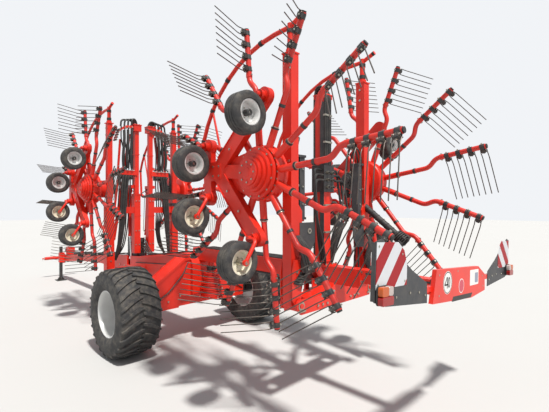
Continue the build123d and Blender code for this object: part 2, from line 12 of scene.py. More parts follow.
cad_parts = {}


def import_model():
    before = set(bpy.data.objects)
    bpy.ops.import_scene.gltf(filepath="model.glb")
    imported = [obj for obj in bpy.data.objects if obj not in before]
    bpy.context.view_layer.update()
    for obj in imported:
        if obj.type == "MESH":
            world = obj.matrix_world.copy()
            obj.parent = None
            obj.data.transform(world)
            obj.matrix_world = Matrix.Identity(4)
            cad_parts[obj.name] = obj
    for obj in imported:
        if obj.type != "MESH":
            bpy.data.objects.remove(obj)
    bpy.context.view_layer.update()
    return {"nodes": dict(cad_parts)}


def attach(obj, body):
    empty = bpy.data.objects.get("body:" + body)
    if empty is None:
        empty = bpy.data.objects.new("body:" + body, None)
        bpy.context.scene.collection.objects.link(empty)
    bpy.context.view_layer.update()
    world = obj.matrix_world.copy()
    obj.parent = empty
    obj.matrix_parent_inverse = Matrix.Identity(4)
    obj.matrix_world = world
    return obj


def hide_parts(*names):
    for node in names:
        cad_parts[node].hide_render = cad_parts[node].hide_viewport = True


log = logging.getLogger("rake")

Triple = tuple[float, float, float]
Point = Triple | Vector
Flat = tuple[float, float]

# Machine lengths count from the rear masts; the row counts from the middle
X_MID = 4.245

COAT_ROUGHNESS = 0.18
BUMP_DEPTH = 0.004
BEVEL_ANGLE = 50.0
COIL_STEPS = 9
AXLE_BORE = 0.0401


class Side(Enum):
    """The two sides of the machine, with the sign of Y."""

    LEFT = 1
    RIGHT = -1

    @property
    def word(self) -> str:
        """The side's name in node and body names."""
        return self.name.lower()


class Mast(Enum):
    """The two pairs of masts, with their distance from the rear ones."""

    REAR = 0.0
    FRONT = 4.6

    @property
    def word(self) -> str:
        """The mast's name in node and body names."""
        return self.name.lower()

    @property
    def pivot_z(self) -> float:
        """Height of the fold pivots at this mast."""
        return 1.10 if self is Mast.REAR else 0.86


class Pattern(Enum):
    """How a finish is broken up over its surface."""

    PLAIN = "plain"
    BANDS_UP = "bands_up"
    BANDS_DOWN = "bands_down"


class Net:
    """A node tree with short ways to add nodes and wires."""

    def __init__(self, tree: bpy.types.NodeTree) -> None:
        """Wrap a node tree."""
        self.tree = tree

    def add(
        self, kind: str, operation: str = "", values: Mapping[str | int, object] | None = None
    ) -> bpy.types.Node:
        """Add a node.

        Args:
            kind: Type of the node.
            operation: Operation of a math node.
            values: Values of its input sockets.

        Returns:
            The node.
        """
        node = self.tree.nodes.new(kind)
        if operation:
            node.operation = operation
        for socket, value in (values or {}).items():
            node.inputs[socket].default_value = value
        return node

    def wire(self, *runs: tuple[bpy.types.Node, str | int, bpy.types.Node, str | int]) -> None:
        """Link outputs to inputs, each run as node, output, node and input."""
        for start, output, end, socket in runs:
            self.tree.links.new(start.outputs[output], end.inputs[socket])


class Group(Net):
    """A node group with named sockets."""

    def __init__(self, name: str, inputs: Sequence[str], outputs: Sequence[str]) -> None:
        """Start a group with nothing between its sockets.

        Args:
            name: Name of the group.
            inputs: Names of its inputs.
            outputs: Names of its outputs.
        """
        super().__init__(bpy.data.node_groups.new(name, "ShaderNodeTree"))
        for way, labels in (("INPUT", inputs), ("OUTPUT", outputs)):
            for label in labels:
                self.tree.interface.new_socket(name=label, in_out=way, socket_type=self._kind(label))
        self.inlet = self.add("NodeGroupInput")
        self.outlet = self.add("NodeGroupOutput")

    @staticmethod
    def _kind(label: str) -> str:
        """Return the socket type that a label stands for."""
        kinds = {"Vector": "NodeSocketVector", "Colour": "NodeSocketColor"}
        return kinds.get(label.split()[-1], "NodeSocketFloat")

    def noise(self, detail: float, rough: float) -> bpy.types.Node:
        """Add a noise texture that takes the group's Vector and Scale.

        Args:
            detail: Number of octaves.
            rough: Roughness of the octaves.

        Returns:
            The noise node.
        """
        node = self.add("ShaderNodeTexNoise", values={"Detail": detail, "Roughness": rough})
        self.wire((self.inlet, "Vector", node, "Vector"), (self.inlet, "Scale", node, "Scale"))
        return node

    def span(self, low: float, high: float) -> bpy.types.Node:
        """Add a clamped map from low and high to 0 and 1."""
        return self.add("ShaderNodeMapRange", values={"From Min": low, "From Max": high})

    def times(self) -> bpy.types.Node:
        """Add a clamped product of two values."""
        node = self.add("ShaderNodeMath", "MULTIPLY")
        node.use_clamp = True
        return node

    def mix(self, factor: bpy.types.Node, other: str) -> None:
        """Mix the group's Colour with another input and put it out.

        Args:
            factor: Math node that says how much of the other one shows.
            other: Name of the other colour's input.
        """
        node = self.add("ShaderNodeMix")
        node.data_type = "RGBA"
        self.wire(
            (factor, "Value", node, 0), (self.inlet, "Colour", node, 6), (self.inlet, other, node, 7),
            (node, 2, self.outlet, "Colour"),
        )

    def blend(self, mask: bpy.types.Node, output: str, other: str) -> None:
        """Mix by a mask times the group's Amount, and put out colour and mask.

        Args:
            mask: Node that gives the mask.
            output: Name of the mask's socket.
            other: Name of the other colour's input.
        """
        gain = self.times()
        self.wire(
            (mask, output, gain, 0), (self.inlet, "Amount", gain, 1), (gain, "Value", self.outlet, "Mask")
        )
        self.mix(gain, other)


class EffectShelf:
    """Shader node groups that the finishes share, each built once."""

    def __init__(self) -> None:
        """Start with no groups built."""
        self._groups: dict[str, bpy.types.NodeTree] = {}

    def get(self, name: str) -> bpy.types.NodeTree:
        """Return a group, building it on its first use.

        Args:
            name: One of fade, dust, grain and bands.

        Returns:
            The node group.
        """
        if name not in self._groups:
            self._groups[name] = getattr(self, f"_build_{name}")().tree
        return self._groups[name]

    @staticmethod
    def _build_fade() -> Group:
        """Build uneven colour: a finish drifts towards its worn colour in patches."""
        net = Group("fade", ("Vector", "Colour", "Worn Colour", "Scale", "Amount"), ("Colour", "Mask"))
        span = net.span(0.38, 0.72)
        net.wire((net.noise(5.0, 0.6), "Fac", span, "Value"))
        net.blend(span, "Result", "Worn Colour")
        return net

    @staticmethod
    def _build_dust() -> Group:
        """Build road dust that lies on the faces that look up and in soft specks."""
        net = Group("dust", ("Vector", "Colour", "Dust Colour", "Scale", "Amount"), ("Colour", "Mask"))
        span = net.span(0.45, 0.8)
        geometry = net.add("ShaderNodeNewGeometry")
        split = net.add("ShaderNodeSeparateXYZ")
        lift = net.span(-0.6, 1.0)
        lift.inputs["To Min"].default_value = 0.25
        both = net.times()
        net.wire(
            (net.noise(8.0, 0.7), "Fac", span, "Value"), (geometry, "Normal", split, 0),
            (split, "Z", lift, "Value"), (span, "Result", both, 0), (lift, "Result", both, 1),
        )
        net.blend(both, "Value", "Dust Colour")
        return net

    @staticmethod
    def _build_grain() -> Group:
        """Build fine surface grain as a height and a roughness that varies."""
        net = Group("grain", ("Vector", "Scale", "Roughness", "Spread", "Mask"), ("Roughness", "Height"))
        fine = net.noise(3.0, 0.5)
        centre = net.add("ShaderNodeMath", "SUBTRACT", {1: 0.5})
        spread = net.add("ShaderNodeMath", "MULTIPLY_ADD")
        dull = net.add("ShaderNodeMath", "MULTIPLY_ADD", {1: 0.35})
        dull.use_clamp = True
        net.wire(
            (fine, "Fac", centre, 0), (centre, "Value", spread, 0), (net.inlet, "Spread", spread, 1),
            (net.inlet, "Roughness", spread, 2), (net.inlet, "Mask", dull, 0), (spread, "Value", dull, 2),
            (dull, "Value", net.outlet, "Roughness"), (fine, "Fac", net.outlet, "Height"),
        )
        return net

    @staticmethod
    def _build_bands() -> Group:
        """Build slanting warning bands across a board that stands in Y and Z."""
        net = Group("bands", ("Vector", "Colour", "Other Colour", "Pitch", "Slope"), ("Colour",))
        split = net.add("ShaderNodeSeparateXYZ")
        slant = net.add("ShaderNodeMath", "MULTIPLY_ADD")
        wrap = net.add("ShaderNodeMath", "DIVIDE")
        part = net.add("ShaderNodeMath", "FRACT")
        step = net.add("ShaderNodeMath", "GREATER_THAN", {1: 0.5})
        net.wire(
            (net.inlet, "Vector", split, 0), (split, "Y", slant, 0), (net.inlet, "Slope", slant, 1),
            (split, "Z", slant, 2), (slant, "Value", wrap, 0), (net.inlet, "Pitch", wrap, 1),
            (wrap, "Value", part, 0), (part, "Value", step, 0),
        )
        net.mix(step, "Other Colour")
        return net


EFFECTS = EffectShelf()


@dataclass(frozen=True)
class Finish:
    """One surface of the machine, with the wear that the real one shows."""

    name: str
    slot: str
    colour: Triple
    worn: Triple
    dust: Triple = (0.36, 0.31, 0.24)
    roughness: float = 0.4
    spread: float = 0.12
    metallic: float = 0.0
    coat: float = 0.0
    fade: float = 0.4
    fade_scale: float = 2.5
    dusty: float = 0.2
    dust_scale: float = 9.0
    grain_scale: float = 160.0
    relief: float = 0.05
    pattern: Pattern = Pattern.PLAIN
    other: Triple = (0.62, 0.65, 0.68)
    pitch: float = 0.28

    def material(self) -> bpy.types.Material:
        """Build the material, or return it if it is there already.

        Returns:
            The material with its node tree.
        """
        made = bpy.data.materials.get(self.name)
        if made is not None:
            return made
        made = bpy.data.materials.new(self.name)
        made.use_nodes = True
        net = Net(made.node_tree)
        shader = net.tree.nodes["Principled BSDF"]
        shader.inputs["Coat Weight"].default_value = self.coat
        shader.inputs["Coat Roughness"].default_value = COAT_ROUGHNESS
        shader.inputs["Metallic"].default_value = self.metallic
        place = net.add("ShaderNodeTexCoord")
        colour = (*self.colour, 1)
        fade = self._effect(net, "fade", place, {
            "Colour": colour, "Worn Colour": (*self.worn, 1), "Scale": self.fade_scale, "Amount": self.fade,
        })
        if self.pattern is not Pattern.PLAIN:
            slope = 1.0 if self.pattern is Pattern.BANDS_UP else -1.0
            bands = self._effect(net, "bands", place, {
                "Colour": colour, "Other Colour": (*self.other, 1), "Pitch": self.pitch, "Slope": slope,
            })
            net.wire((bands, "Colour", fade, "Colour"))
        dust = self._effect(net, "dust", place, {
            "Dust Colour": (*self.dust, 1), "Scale": self.dust_scale, "Amount": self.dusty,
        })
        grain = self._effect(net, "grain", place, {
            "Scale": self.grain_scale, "Roughness": self.roughness, "Spread": self.spread,
        })
        bump = net.add("ShaderNodeBump", values={"Strength": self.relief, "Distance": BUMP_DEPTH})
        net.wire(
            (fade, "Colour", dust, "Colour"), (dust, "Colour", shader, "Base Color"),
            (dust, "Mask", grain, "Mask"), (grain, "Roughness", shader, "Roughness"),
            (grain, "Height", bump, "Height"), (bump, "Normal", shader, "Normal"),
        )
        return made

    @staticmethod
    def _effect(
        net: Net, name: str, place: bpy.types.Node, values: Mapping[str, object]
    ) -> bpy.types.Node:
        """Place an effect group in the material.

        Args:
            net: The material's node tree.
            name: Name of the effect.
            place: Node with the coordinates.
            values: Values of the group's inputs.

        Returns:
            The group node.
        """
        node = net.add("ShaderNodeGroup")
        node.node_tree = EFFECTS.get(name)
        for socket, value in values.items():
            node.inputs[socket].default_value = value
        net.wire((place, "Object", node, "Vector"))
        return node


RED = Finish(
    "red_enamel", "red_paint", (0.74, 0.022, 0.006), (0.48, 0.01, 0.006), roughness=0.42,
    coat=0.08, fade=0.5, dusty=0.03,
)
# Arm red: the body's red paint tinted pinker, a painted sheen that stands in for sun glare on the glossy
# arms.
RED_ARM_PAINTED_SHEEN = Finish(
    "red_arm_painted_sheen", "red_paint", (0.66, 0.026, 0.014), (0.42, 0.012, 0.012), roughness=0.42,
    coat=0.1, fade=0.5, fade_scale=4.0, dusty=0.05,
)
BLACK = Finish(
    "black_enamel", "black_paint", (0.016, 0.017, 0.019), (0.04, 0.042, 0.046), roughness=0.42,
    coat=0.1, dusty=0.25,
)
SOOT = Finish(
    "dark_grey_sheet", "black_paint", (0.035, 0.037, 0.042), (0.06, 0.063, 0.07), roughness=0.55,
    dusty=0.3,
)
MOULDED = Finish(
    "black_moulding", "black_paint", (0.012, 0.012, 0.013), (0.03, 0.03, 0.032), roughness=0.6,
    grain_scale=420.0, relief=0.25, dusty=0.2,
)
HOSE = Finish(
    "hose_rubber", "black_paint", (0.012, 0.012, 0.013), (0.03, 0.029, 0.028), roughness=0.5,
    grain_scale=600.0, relief=0.3,
)
SPRING = Finish(
    "spring_steel", "chrome_rod", (0.075, 0.07, 0.066), (0.14, 0.10, 0.075), roughness=0.42,
    metallic=0.75, fade=0.6, fade_scale=20.0, dusty=0.15,
)
ZINC = Finish(
    "zinc_plate", "chrome_rod", (0.42, 0.40, 0.34), (0.30, 0.28, 0.23), roughness=0.35,
    metallic=0.9, fade=0.6, fade_scale=18.0, dusty=0.2,
)
CHROME = Finish(
    "polished_rod", "chrome_rod", (0.72, 0.72, 0.74), (0.6, 0.6, 0.6), roughness=0.12,
    metallic=1.0, fade=0.2, dusty=0.05,
)
TYRE = Finish(
    "tyre_rubber", "tyre", (0.028, 0.028, 0.03), (0.075, 0.072, 0.068), roughness=0.78,
    grain_scale=220.0, relief=0.35, fade=0.6, fade_scale=7.0, dusty=0.45, dust_scale=14.0,
)
CREAM = Finish(
    "cream_disc", "board_sheet", (0.78, 0.74, 0.6), (0.6, 0.56, 0.44), roughness=0.4, coat=0.2,
    fade_scale=8.0, dusty=0.35,
)
SILVER = Finish(
    "silver_rim", "chrome_rod", (0.72, 0.72, 0.71), (0.55, 0.55, 0.54), roughness=0.38,
    metallic=0.25, coat=0.2, dusty=0.25,
)
PALE = Finish(
    "pale_plate", "board_sheet", (0.8, 0.8, 0.78), (0.68, 0.68, 0.66), roughness=0.45,
    fade=0.3, dusty=0.12,
)
INK = Finish(
    "black_print", "black_paint", (0.012, 0.012, 0.013), (0.03, 0.03, 0.03), roughness=0.5,
    dusty=0.05,
)
BOARD_LEFT = Finish(
    "board_left", "board_sheet", (0.32, 0.001, 0.006), (0.26, 0.002, 0.006), roughness=0.6,
    fade=0.15, dusty=0.01, grain_scale=900.0, pattern=Pattern.BANDS_UP,
)
BOARD_RIGHT = replace(BOARD_LEFT, name="board_right", pattern=Pattern.BANDS_DOWN)
LENS_RED = Finish(
    "lens_red", "lamp_lens", (0.30, 0.002, 0.002), (0.24, 0.002, 0.002), roughness=0.3, coat=0.15,
    fade=0.2, dusty=0.05, grain_scale=90.0, relief=0.3,
)
LENS_CLEAR = replace(
    LENS_RED, name="lens_clear", colour=(0.46, 0.38, 0.36), worn=(0.4, 0.33, 0.32), roughness=0.2, coat=0.3,
)
BOARD_TINT = Finish(
    "pink_sign_fill", "board_sheet", (0.55, 0.04, 0.08), (0.5, 0.05, 0.08), roughness=0.4, fade=0.2,
    dusty=0.05,
)
SOOT_PALE = Finish(
    "grey_sign_fill", "board_sheet", (0.25, 0.27, 0.36), (0.3, 0.3, 0.36), roughness=0.45, fade=0.2,
    dusty=0.05,
)
LENS_AMBER = replace(
    LENS_RED, name="lens_amber", colour=(0.5, 0.085, 0.003), worn=(0.42, 0.06, 0.003),
)
FLOOR = Finish(
    "studio_floor", "", (0.56, 0.56, 0.555), (0.53, 0.53, 0.525), roughness=0.9, fade=0.3,
    fade_scale=0.3, dusty=0.0, relief=0.02,
)


def rounded(path: Sequence[Point], radius: float, steps: int) -> list[Vector]:
    """Round the inner corners of a path.

    Args:
        path: Corner points.
        radius: Distance that an arc takes from each run.
        steps: Points of each arc beyond its first.

    Returns:
        The path with arcs at its corners.
    """
    corners = [Vector(p) for p in path]
    if radius <= 0 or len(corners) < 3:
        return corners
    out = [corners[0]]
    for before, here, after in zip(corners, corners[1:], corners[2:]):
        cut = min(radius, (here - before).length * 0.48, (after - here).length * 0.48)
        start = here + (before - here).normalized() * cut
        end = here + (after - here).normalized() * cut
        for n in range(steps + 1):
            t = n / steps
            out.append(start * (1 - t) ** 2 + here * 2 * t * (1 - t) + end * t * t)
    out.append(corners[-1])
    return out


def circle(count: int, first: float = 0.0) -> list[Flat]:
    """Return the cosines and sines of a full turn in equal steps."""
    angles = [first + 2 * math.pi * n / count for n in range(count)]
    return [(math.cos(a), math.sin(a)) for a in angles]


class Shape:
    """Gathers faces in machine coordinates and turns them into one object."""

    def __init__(self, side: Side = Side.LEFT) -> None:
        """Start an empty shape.

        Args:
            side: Side that it is built for; the right one mirrors Y.
        """
        self.sign = side.value
        self.points: list[Point] = []
        self.faces: list[tuple[int, ...]] = []
        self.marks: list[int] = []
        self.finishes: list[Finish] = []
        self.turn = Matrix.Identity(4)

    def _mark(self, finish: Finish) -> int:
        """Return the slot number of a finish on this shape."""
        if finish not in self.finishes:
            self.finishes.append(finish)
        return self.finishes.index(finish)

    def _add(self, points: Sequence[Vector]) -> int:
        """Add points and return the number of the first."""
        first = len(self.points)
        for p in points:
            q = self.turn @ Vector(p)
            self.points.append((q.x - X_MID, q.y * self.sign, q.z))
        return first

    def _face(self, corners: Sequence[int], mark: int) -> None:
        """Add one face, turned round on the mirrored side."""
        self.faces.append(tuple(corners) if self.sign > 0 else tuple(reversed(corners)))
        self.marks.append(mark)

    def rings(self, rings: Sequence[Sequence[Vector]], finish: Finish, capped: bool = True) -> None:
        """Join closed rings of equal count into a skin.

        Args:
            rings: Rings of points in order.
            finish: Finish of the skin.
            capped: Whether the first and last ring are closed.
        """
        mark = self._mark(finish)
        count = len(rings[0])
        first = self._add([p for ring in rings for p in ring])
        for a in range(len(rings) - 1):
            low = first + a * count
            high = low + count
            for n in range(count):
                m = (n + 1) % count
                self._face((low + n, low + m, high + m, high + n), mark)
        if capped:
            self._face([first + n for n in reversed(range(count))], mark)
            last = first + (len(rings) - 1) * count
            self._face([last + n for n in range(count)], mark)

    def tube(
        self,
        path: Sequence[Point],
        radius: float | Sequence[float],
        finish: Finish,
        sides: int = 10,
        bend: float = 0.0,
        steps: int = 4,
    ) -> None:
        """Sweep a round section along a path.

        Args:
            path: Corner points.
            radius: One radius, or one for each point when bend is 0.
            finish: Finish of the tube.
            sides: Faces round the section.
            bend: Length that each corner's arc takes from its runs.
            steps: Points of each arc.
        """
        line = rounded(path, bend, steps)
        radii = [radius] * len(line) if isinstance(radius, (int, float)) else list(radius)
        up = (line[1] - line[0]).normalized().orthogonal().normalized()
        rings = []
        for n, here in enumerate(line):
            before = line[max(n - 1, 0)]
            after = line[min(n + 1, len(line) - 1)]
            now = (after - before).normalized()
            up = (up - now * up.dot(now)).normalized()
            across = now.cross(up)
            rings.append([here + (up * c + across * s) * radii[n] for c, s in circle(sides)])
        self.rings(rings, finish)

    def stud(
        self, start: Point, reach: Point, radius: float, finish: Finish = ZINC, sides: int = 6
    ) -> None:
        """Add a straight round piece, such as a bolt head, from a point along a reach."""
        self.tube([start, Vector(start) + Vector(reach)], radius, finish, sides=sides)

    def hose(
        self, path: Sequence[Point], radius: float, bend: float, sides: int = 8, steps: int = 5
    ) -> None:
        """Run a rubber hose along a path with rounded corners."""
        self.tube(path, radius, HOSE, sides=sides, bend=bend, steps=steps)

    def turned(
        self,
        profile: Sequence[Flat],
        centre: Point,
        axis: Point,
        finish: Finish,
        segments: int = 32,
        closed: bool = False,
    ) -> None:
        """Turn a profile round an axis.

        Args:
            profile: Pairs of distance along the axis and radius.
            centre: Point on the axis where the distance is 0.
            axis: Direction of the axis.
            finish: Finish of the skin.
            segments: Faces round the axis.
            closed: Whether the last point joins the first instead of caps.
        """
        way = Vector(axis).normalized()
        up = way.orthogonal().normalized()
        across = way.cross(up)
        base = Vector(centre)
        loop = list(profile) + [profile[0]] if closed else list(profile)
        turn = [up * c + across * s for c, s in circle(segments)]
        rings = [[base + way * along + out * radius for out in turn] for along, radius in loop]
        self.rings(rings, finish, capped=not closed)

    def collar(
        self, centre: Point, axis: Point, span: Flat, radii: Flat, finish: Finish, segments: int
    ) -> None:
        """Add a square-edged ring round an axis.

        Args:
            centre: Point on the axis where the distance is 0.
            axis: Direction of the axis.
            span: Near and far distance along the axis.
            radii: Inner and outer radius.
            finish: Finish of the ring.
            segments: Faces round the axis.
        """
        (low, high), (inner, outer) = span, radii
        profile = [(low, inner), (low, outer), (high, outer), (high, inner)]
        self.turned(profile, centre, axis, finish, segments, closed=True)

    def prism(self, outline: Sequence[Point], reach: Point, finish: Finish) -> None:
        """Push a flat outline along a direction.

        Args:
            outline: Corner points of the near face.
            reach: Vector from the near face to the far one.
            finish: Finish of the plate.
        """
        near = [Vector(p) for p in outline]
        normal = Vector((0, 0, 0))
        for a, b in zip(near, near[1:] + near[:1]):
            normal += a.cross(b)
        if normal.dot(Vector(reach)) < 0:
            near.reverse()
        self.rings([near, [p + Vector(reach) for p in near]], finish)

    def slab(self, x: float, outline: Sequence[Flat], thick: float, finish: Finish) -> None:
        """Push an outline in Y and Z forward from a place along the machine."""
        self.prism([(x, y, z) for y, z in outline], (thick, 0, 0), finish)

    def block(self, low: Point, high: Point, finish: Finish) -> None:
        """Add a box between two corners.

        Args:
            low: Lowest corner.
            high: Highest corner.
            finish: Finish of the box.
        """
        (x0, y0, z0), (x1, y1, z1) = low, high
        self.prism([(x0, y0, z0), (x1, y0, z0), (x1, y1, z0), (x0, y1, z0)], (0, 0, z1 - z0), finish)

    def coil(
        self,
        start: Vector,
        end: Vector,
        radius: float,
        wire: float,
        turns: float,
        finish: Finish,
    ) -> None:
        """Wind a wire round the line between two points.

        Args:
            start: Start of the line.
            end: End of the line.
            radius: Radius of the winding.
            wire: Radius of the wire.
            turns: Number of turns.
            finish: Finish of the wire.
        """
        way = (end - start).normalized()
        up = way.orthogonal().normalized()
        across = way.cross(up)
        count = int(turns * COIL_STEPS)
        path = []
        for n in range(count + 1):
            a = 2 * math.pi * turns * n / count
            out = (up * math.cos(a) + across * math.sin(a)) * radius
            path.append(start + (end - start) * (n / count) + out)
        self.tube(path, wire, finish, sides=5)

    def finish(self, name: str, body: str, bevel: float = 0.0, angle: float = 35.0) -> bpy.types.Object:
        """Make the Blender object and let it ride.

        Args:
            name: Name of the object.
            body: CAD body that carries it.
            bevel: Width of rounded edges, or 0 for none.
            angle: Edges sharper than this stay sharp.

        Returns:
            The object.
        """
        mesh = bpy.data.meshes.new(name)
        mesh.from_pydata(self.points, [], self.faces)
        for finish in self.finishes:
            mesh.materials.append(finish.material())
        mesh.polygons.foreach_set("material_index", self.marks)
        mesh.polygons.foreach_set("use_smooth", [True] * len(self.faces))
        mesh.set_sharp_from_angle(angle=math.radians(angle))
        obj = bpy.data.objects.new(name, mesh)
        bpy.context.scene.collection.objects.link(obj)
        if bevel > 0:
            edge = obj.modifiers.new("edges", "BEVEL")
            edge.width = bevel
            edge.segments = 2
            edge.limit_method = "ANGLE"
            edge.angle_limit = math.radians(BEVEL_ANGLE)
            edge.harden_normals = True
        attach(obj, body)
        return obj


@dataclass
class TineRotor:
    """A rotor: ribbed drum, tine arms, coil tines and their clamps."""

    hub_dx: float = 0.12
    hub_z: float = 2.42
    drum_r: float = 0.285
    arm_y: float = 0.965
    arm_r: float = 0.0285
    jog_in: float = 0.85
    jog_out: float = 0.95
    jog: float = 0.09
    arm_end: float = 1.5
    first_tine: float = 1.045
    pairs: int = 4
    pair_pitch: float = 0.125
    in_pair: float = 0.065
    tine_r: float = 0.005
    tine_root: float = 0.12
    tine_tip: float = 0.412
    tine_bend: float = 16.0
    coil_r: float = 0.021
    coil_length: float = 0.034
    coil_turns: float = 3.0
    swings: tuple[float, ...] = (45, 60, 75, 75, 60, 35, 20, 10, 5, 5, 15, 30)
    phases: dict[str, float] = field(
        default_factory=lambda: {
            "rear_left": 5.0,
            "rear_right": 9.0,
            "front_left": 7.0,
            "front_right": 3.0,
        }
    )

    def build(self, mast: Mast, side: Side) -> list[bpy.types.Object]:
        """Build one rotor on its body.

        Args:
            mast: Mast that carries it.
            side: Side of the machine.

        Returns:
            The objects of the rotor.
        """
        tag = f"{mast.word}_{side.word}"
        body = f"rotor_{tag}"
        hub = Matrix.Translation((mast.value + self.hub_dx, 0.0, self.hub_z))
        arms = Shape(side)
        tines = Shape(side)
        arms.turn = tines.turn = hub
        self._drum(arms)
        for n, swing in enumerate(self.swings):
            theta = math.radians(self.phases[tag] + 30.0 * n)
            self._arm(arms, theta)
            self._tines(tines, arms, theta, swing)
        made = [
            arms.finish(f"rotor_arms_{tag}", body),
            tines.finish(f"rotor_tines_{tag}", body, angle=60.0),
        ]
        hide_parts(body)
        return made

    @staticmethod
    def _axes(theta: float) -> tuple[Vector, Vector]:
        """Return the directions along an arm and across it."""
        out = Vector((-math.sin(theta), 0.0, -math.cos(theta)))
        across = Vector((-math.cos(theta), 0.0, math.sin(theta)))
        return out, across

    def _place(self, theta: float, r: float, offset: float) -> Vector:
        """Return a point at a radius and an offset across the arm."""
        out, across = self._axes(theta)
        return out * r + across * offset + Vector((0, self.arm_y, 0))

    def _drum(self, shape: Shape) -> None:
        """Build the drum that the arms leave, with its flanges.

        Args:
            shape: Shape that takes the faces.
        """
        r = self.drum_r
        profile = [
            (0.852, 0.0605), (0.852, r - 0.035), (0.858, r - 0.022), (0.875, r - 0.012), (0.89, r - 0.012),
            (0.896, r - 0.002), (0.915, r - 0.002), (0.921, r - 0.012), (0.94, r - 0.012),
            (0.985, r - 0.012), (0.996, r - 0.024), (0.998, 0.0605),
        ]
        shape.turned(profile, (0, 0, 0), (0, 1, 0), RED, 64, closed=True)
        for c, s in circle(24):
            shape.stud(((r - 0.03) * c, 0.997, (r - 0.03) * s), (0, 0.007, 0), 0.008)

    def _arm(self, shape: Shape, theta: float) -> None:
        """Build one arm with its socket, collars and end cap.

        Args:
            shape: Shape that takes the faces.
            theta: Angle of the arm from straight down, rearward.
        """
        root = self.drum_r - 0.03
        path = [
            self._place(theta, r, offset) for r, offset in (
                (root, 0), (self.jog_in, 0), (self.jog_out, self.jog), (self.arm_end - 0.012, self.jog),
            )
        ]
        # The arm tube takes the pinker red with its painted sheen.
        shape.tube(path, self.arm_r, RED_ARM_PAINTED_SHEEN, sides=14, bend=0.05, steps=5)
        for start, end, offset, grow, finish in (
            (root, 0.45, 0, 1.26, RED),
            (0.45, 0.464, 0, 1.42, BLACK),
            (0.47, 0.476, 0, 1.2, ZINC),
            (0.66, 0.69, 0, 1.14, BLACK),
            (self.arm_end - 0.016, self.arm_end, self.jog, 0.86, MOULDED),
            (self.jog_out + 0.045, self.jog_out + 0.085, self.jog, 1.14, RED_ARM_PAINTED_SHEEN),
        ):
            run = [self._place(theta, r, offset) for r in (start, end)]
            shape.tube(run, self.arm_r * grow, finish, sides=14)
        bolt = [self._place(theta, self.jog_out + 0.065, self.jog + far) for far in (-0.042, 0.042)]
        shape.tube(bolt, 0.009, ZINC, sides=6)

    @staticmethod
    def _swung(across: Vector, angle: float) -> Vector:
        """Return the direction that swings from outward by an angle about the arm."""
        a = math.radians(angle)
        return Vector((0, math.cos(a), 0)) - across * math.sin(a)

    def _tines(self, shape: Shape, arms: Shape, theta: float, swing: float) -> None:
        """Build the coil tines of one arm.

        Args:
            shape: Shape that takes the tines.
            arms: Shape that takes the clamps.
            theta: Angle of the arm.
            swing: Angle of its tines about the arm.
        """
        out, across = self._axes(theta)
        drop = self._swung(across, swing - self.tine_bend)
        aim = self._swung(across, swing)
        rest = out.cross(drop).normalized()
        for pair in range(self.pairs):
            middle = self.first_tine + pair * self.pair_pitch + self.in_pair / 2
            for sign in (-1, 1):
                root = self._place(theta, middle + sign * self.in_pair / 2, self.jog)
                centre = root + drop * (self.arm_r + self.coil_r * 0.75)
                far = centre - out * sign * self.coil_length
                shape.coil(far, centre, self.coil_r, self.tine_r, self.coil_turns, SPRING)
                start = centre + rest * self.coil_r * 0.2 + drop * self.coil_r * 0.8
                bend = root + drop * self.tine_root
                path = [start, bend, bend + aim * self.tine_tip]
                shape.tube(path, self.tine_r, SPRING, sides=6, bend=0.035, steps=3)
            self._clamp(arms, theta, middle, drop)

    def _clamp(self, shape: Shape, theta: float, middle: float, drop: Vector) -> None:
        """Build the holder and bolt between the two coils of a tine.

        Args:
            shape: Shape that takes the faces.
            theta: Angle of the arm.
            middle: Radius of the clamp.
            drop: Direction from the arm to the coils.
        """
        out, _ = self._axes(theta)
        root = self._place(theta, middle, self.jog)
        wide = out.cross(drop).normalized()
        for span, half, finish, low, high in (
            (0.017, 0.022, BLACK, 0.018, 0.068),
            (0.007, 0.008, ZINC, -0.044, 0.078),
        ):
            near = root + drop * low
            corners = [
                near + out * a * span + wide * b * half for a, b in ((-1, -1), (1, -1), (1, 1), (-1, 1))
            ]
            shape.prism(corners, drop * (high - low), finish)
        shape.tube([root - out * 0.024, root + out * 0.024], self.arm_r * 1.12, BLACK, sides=12)


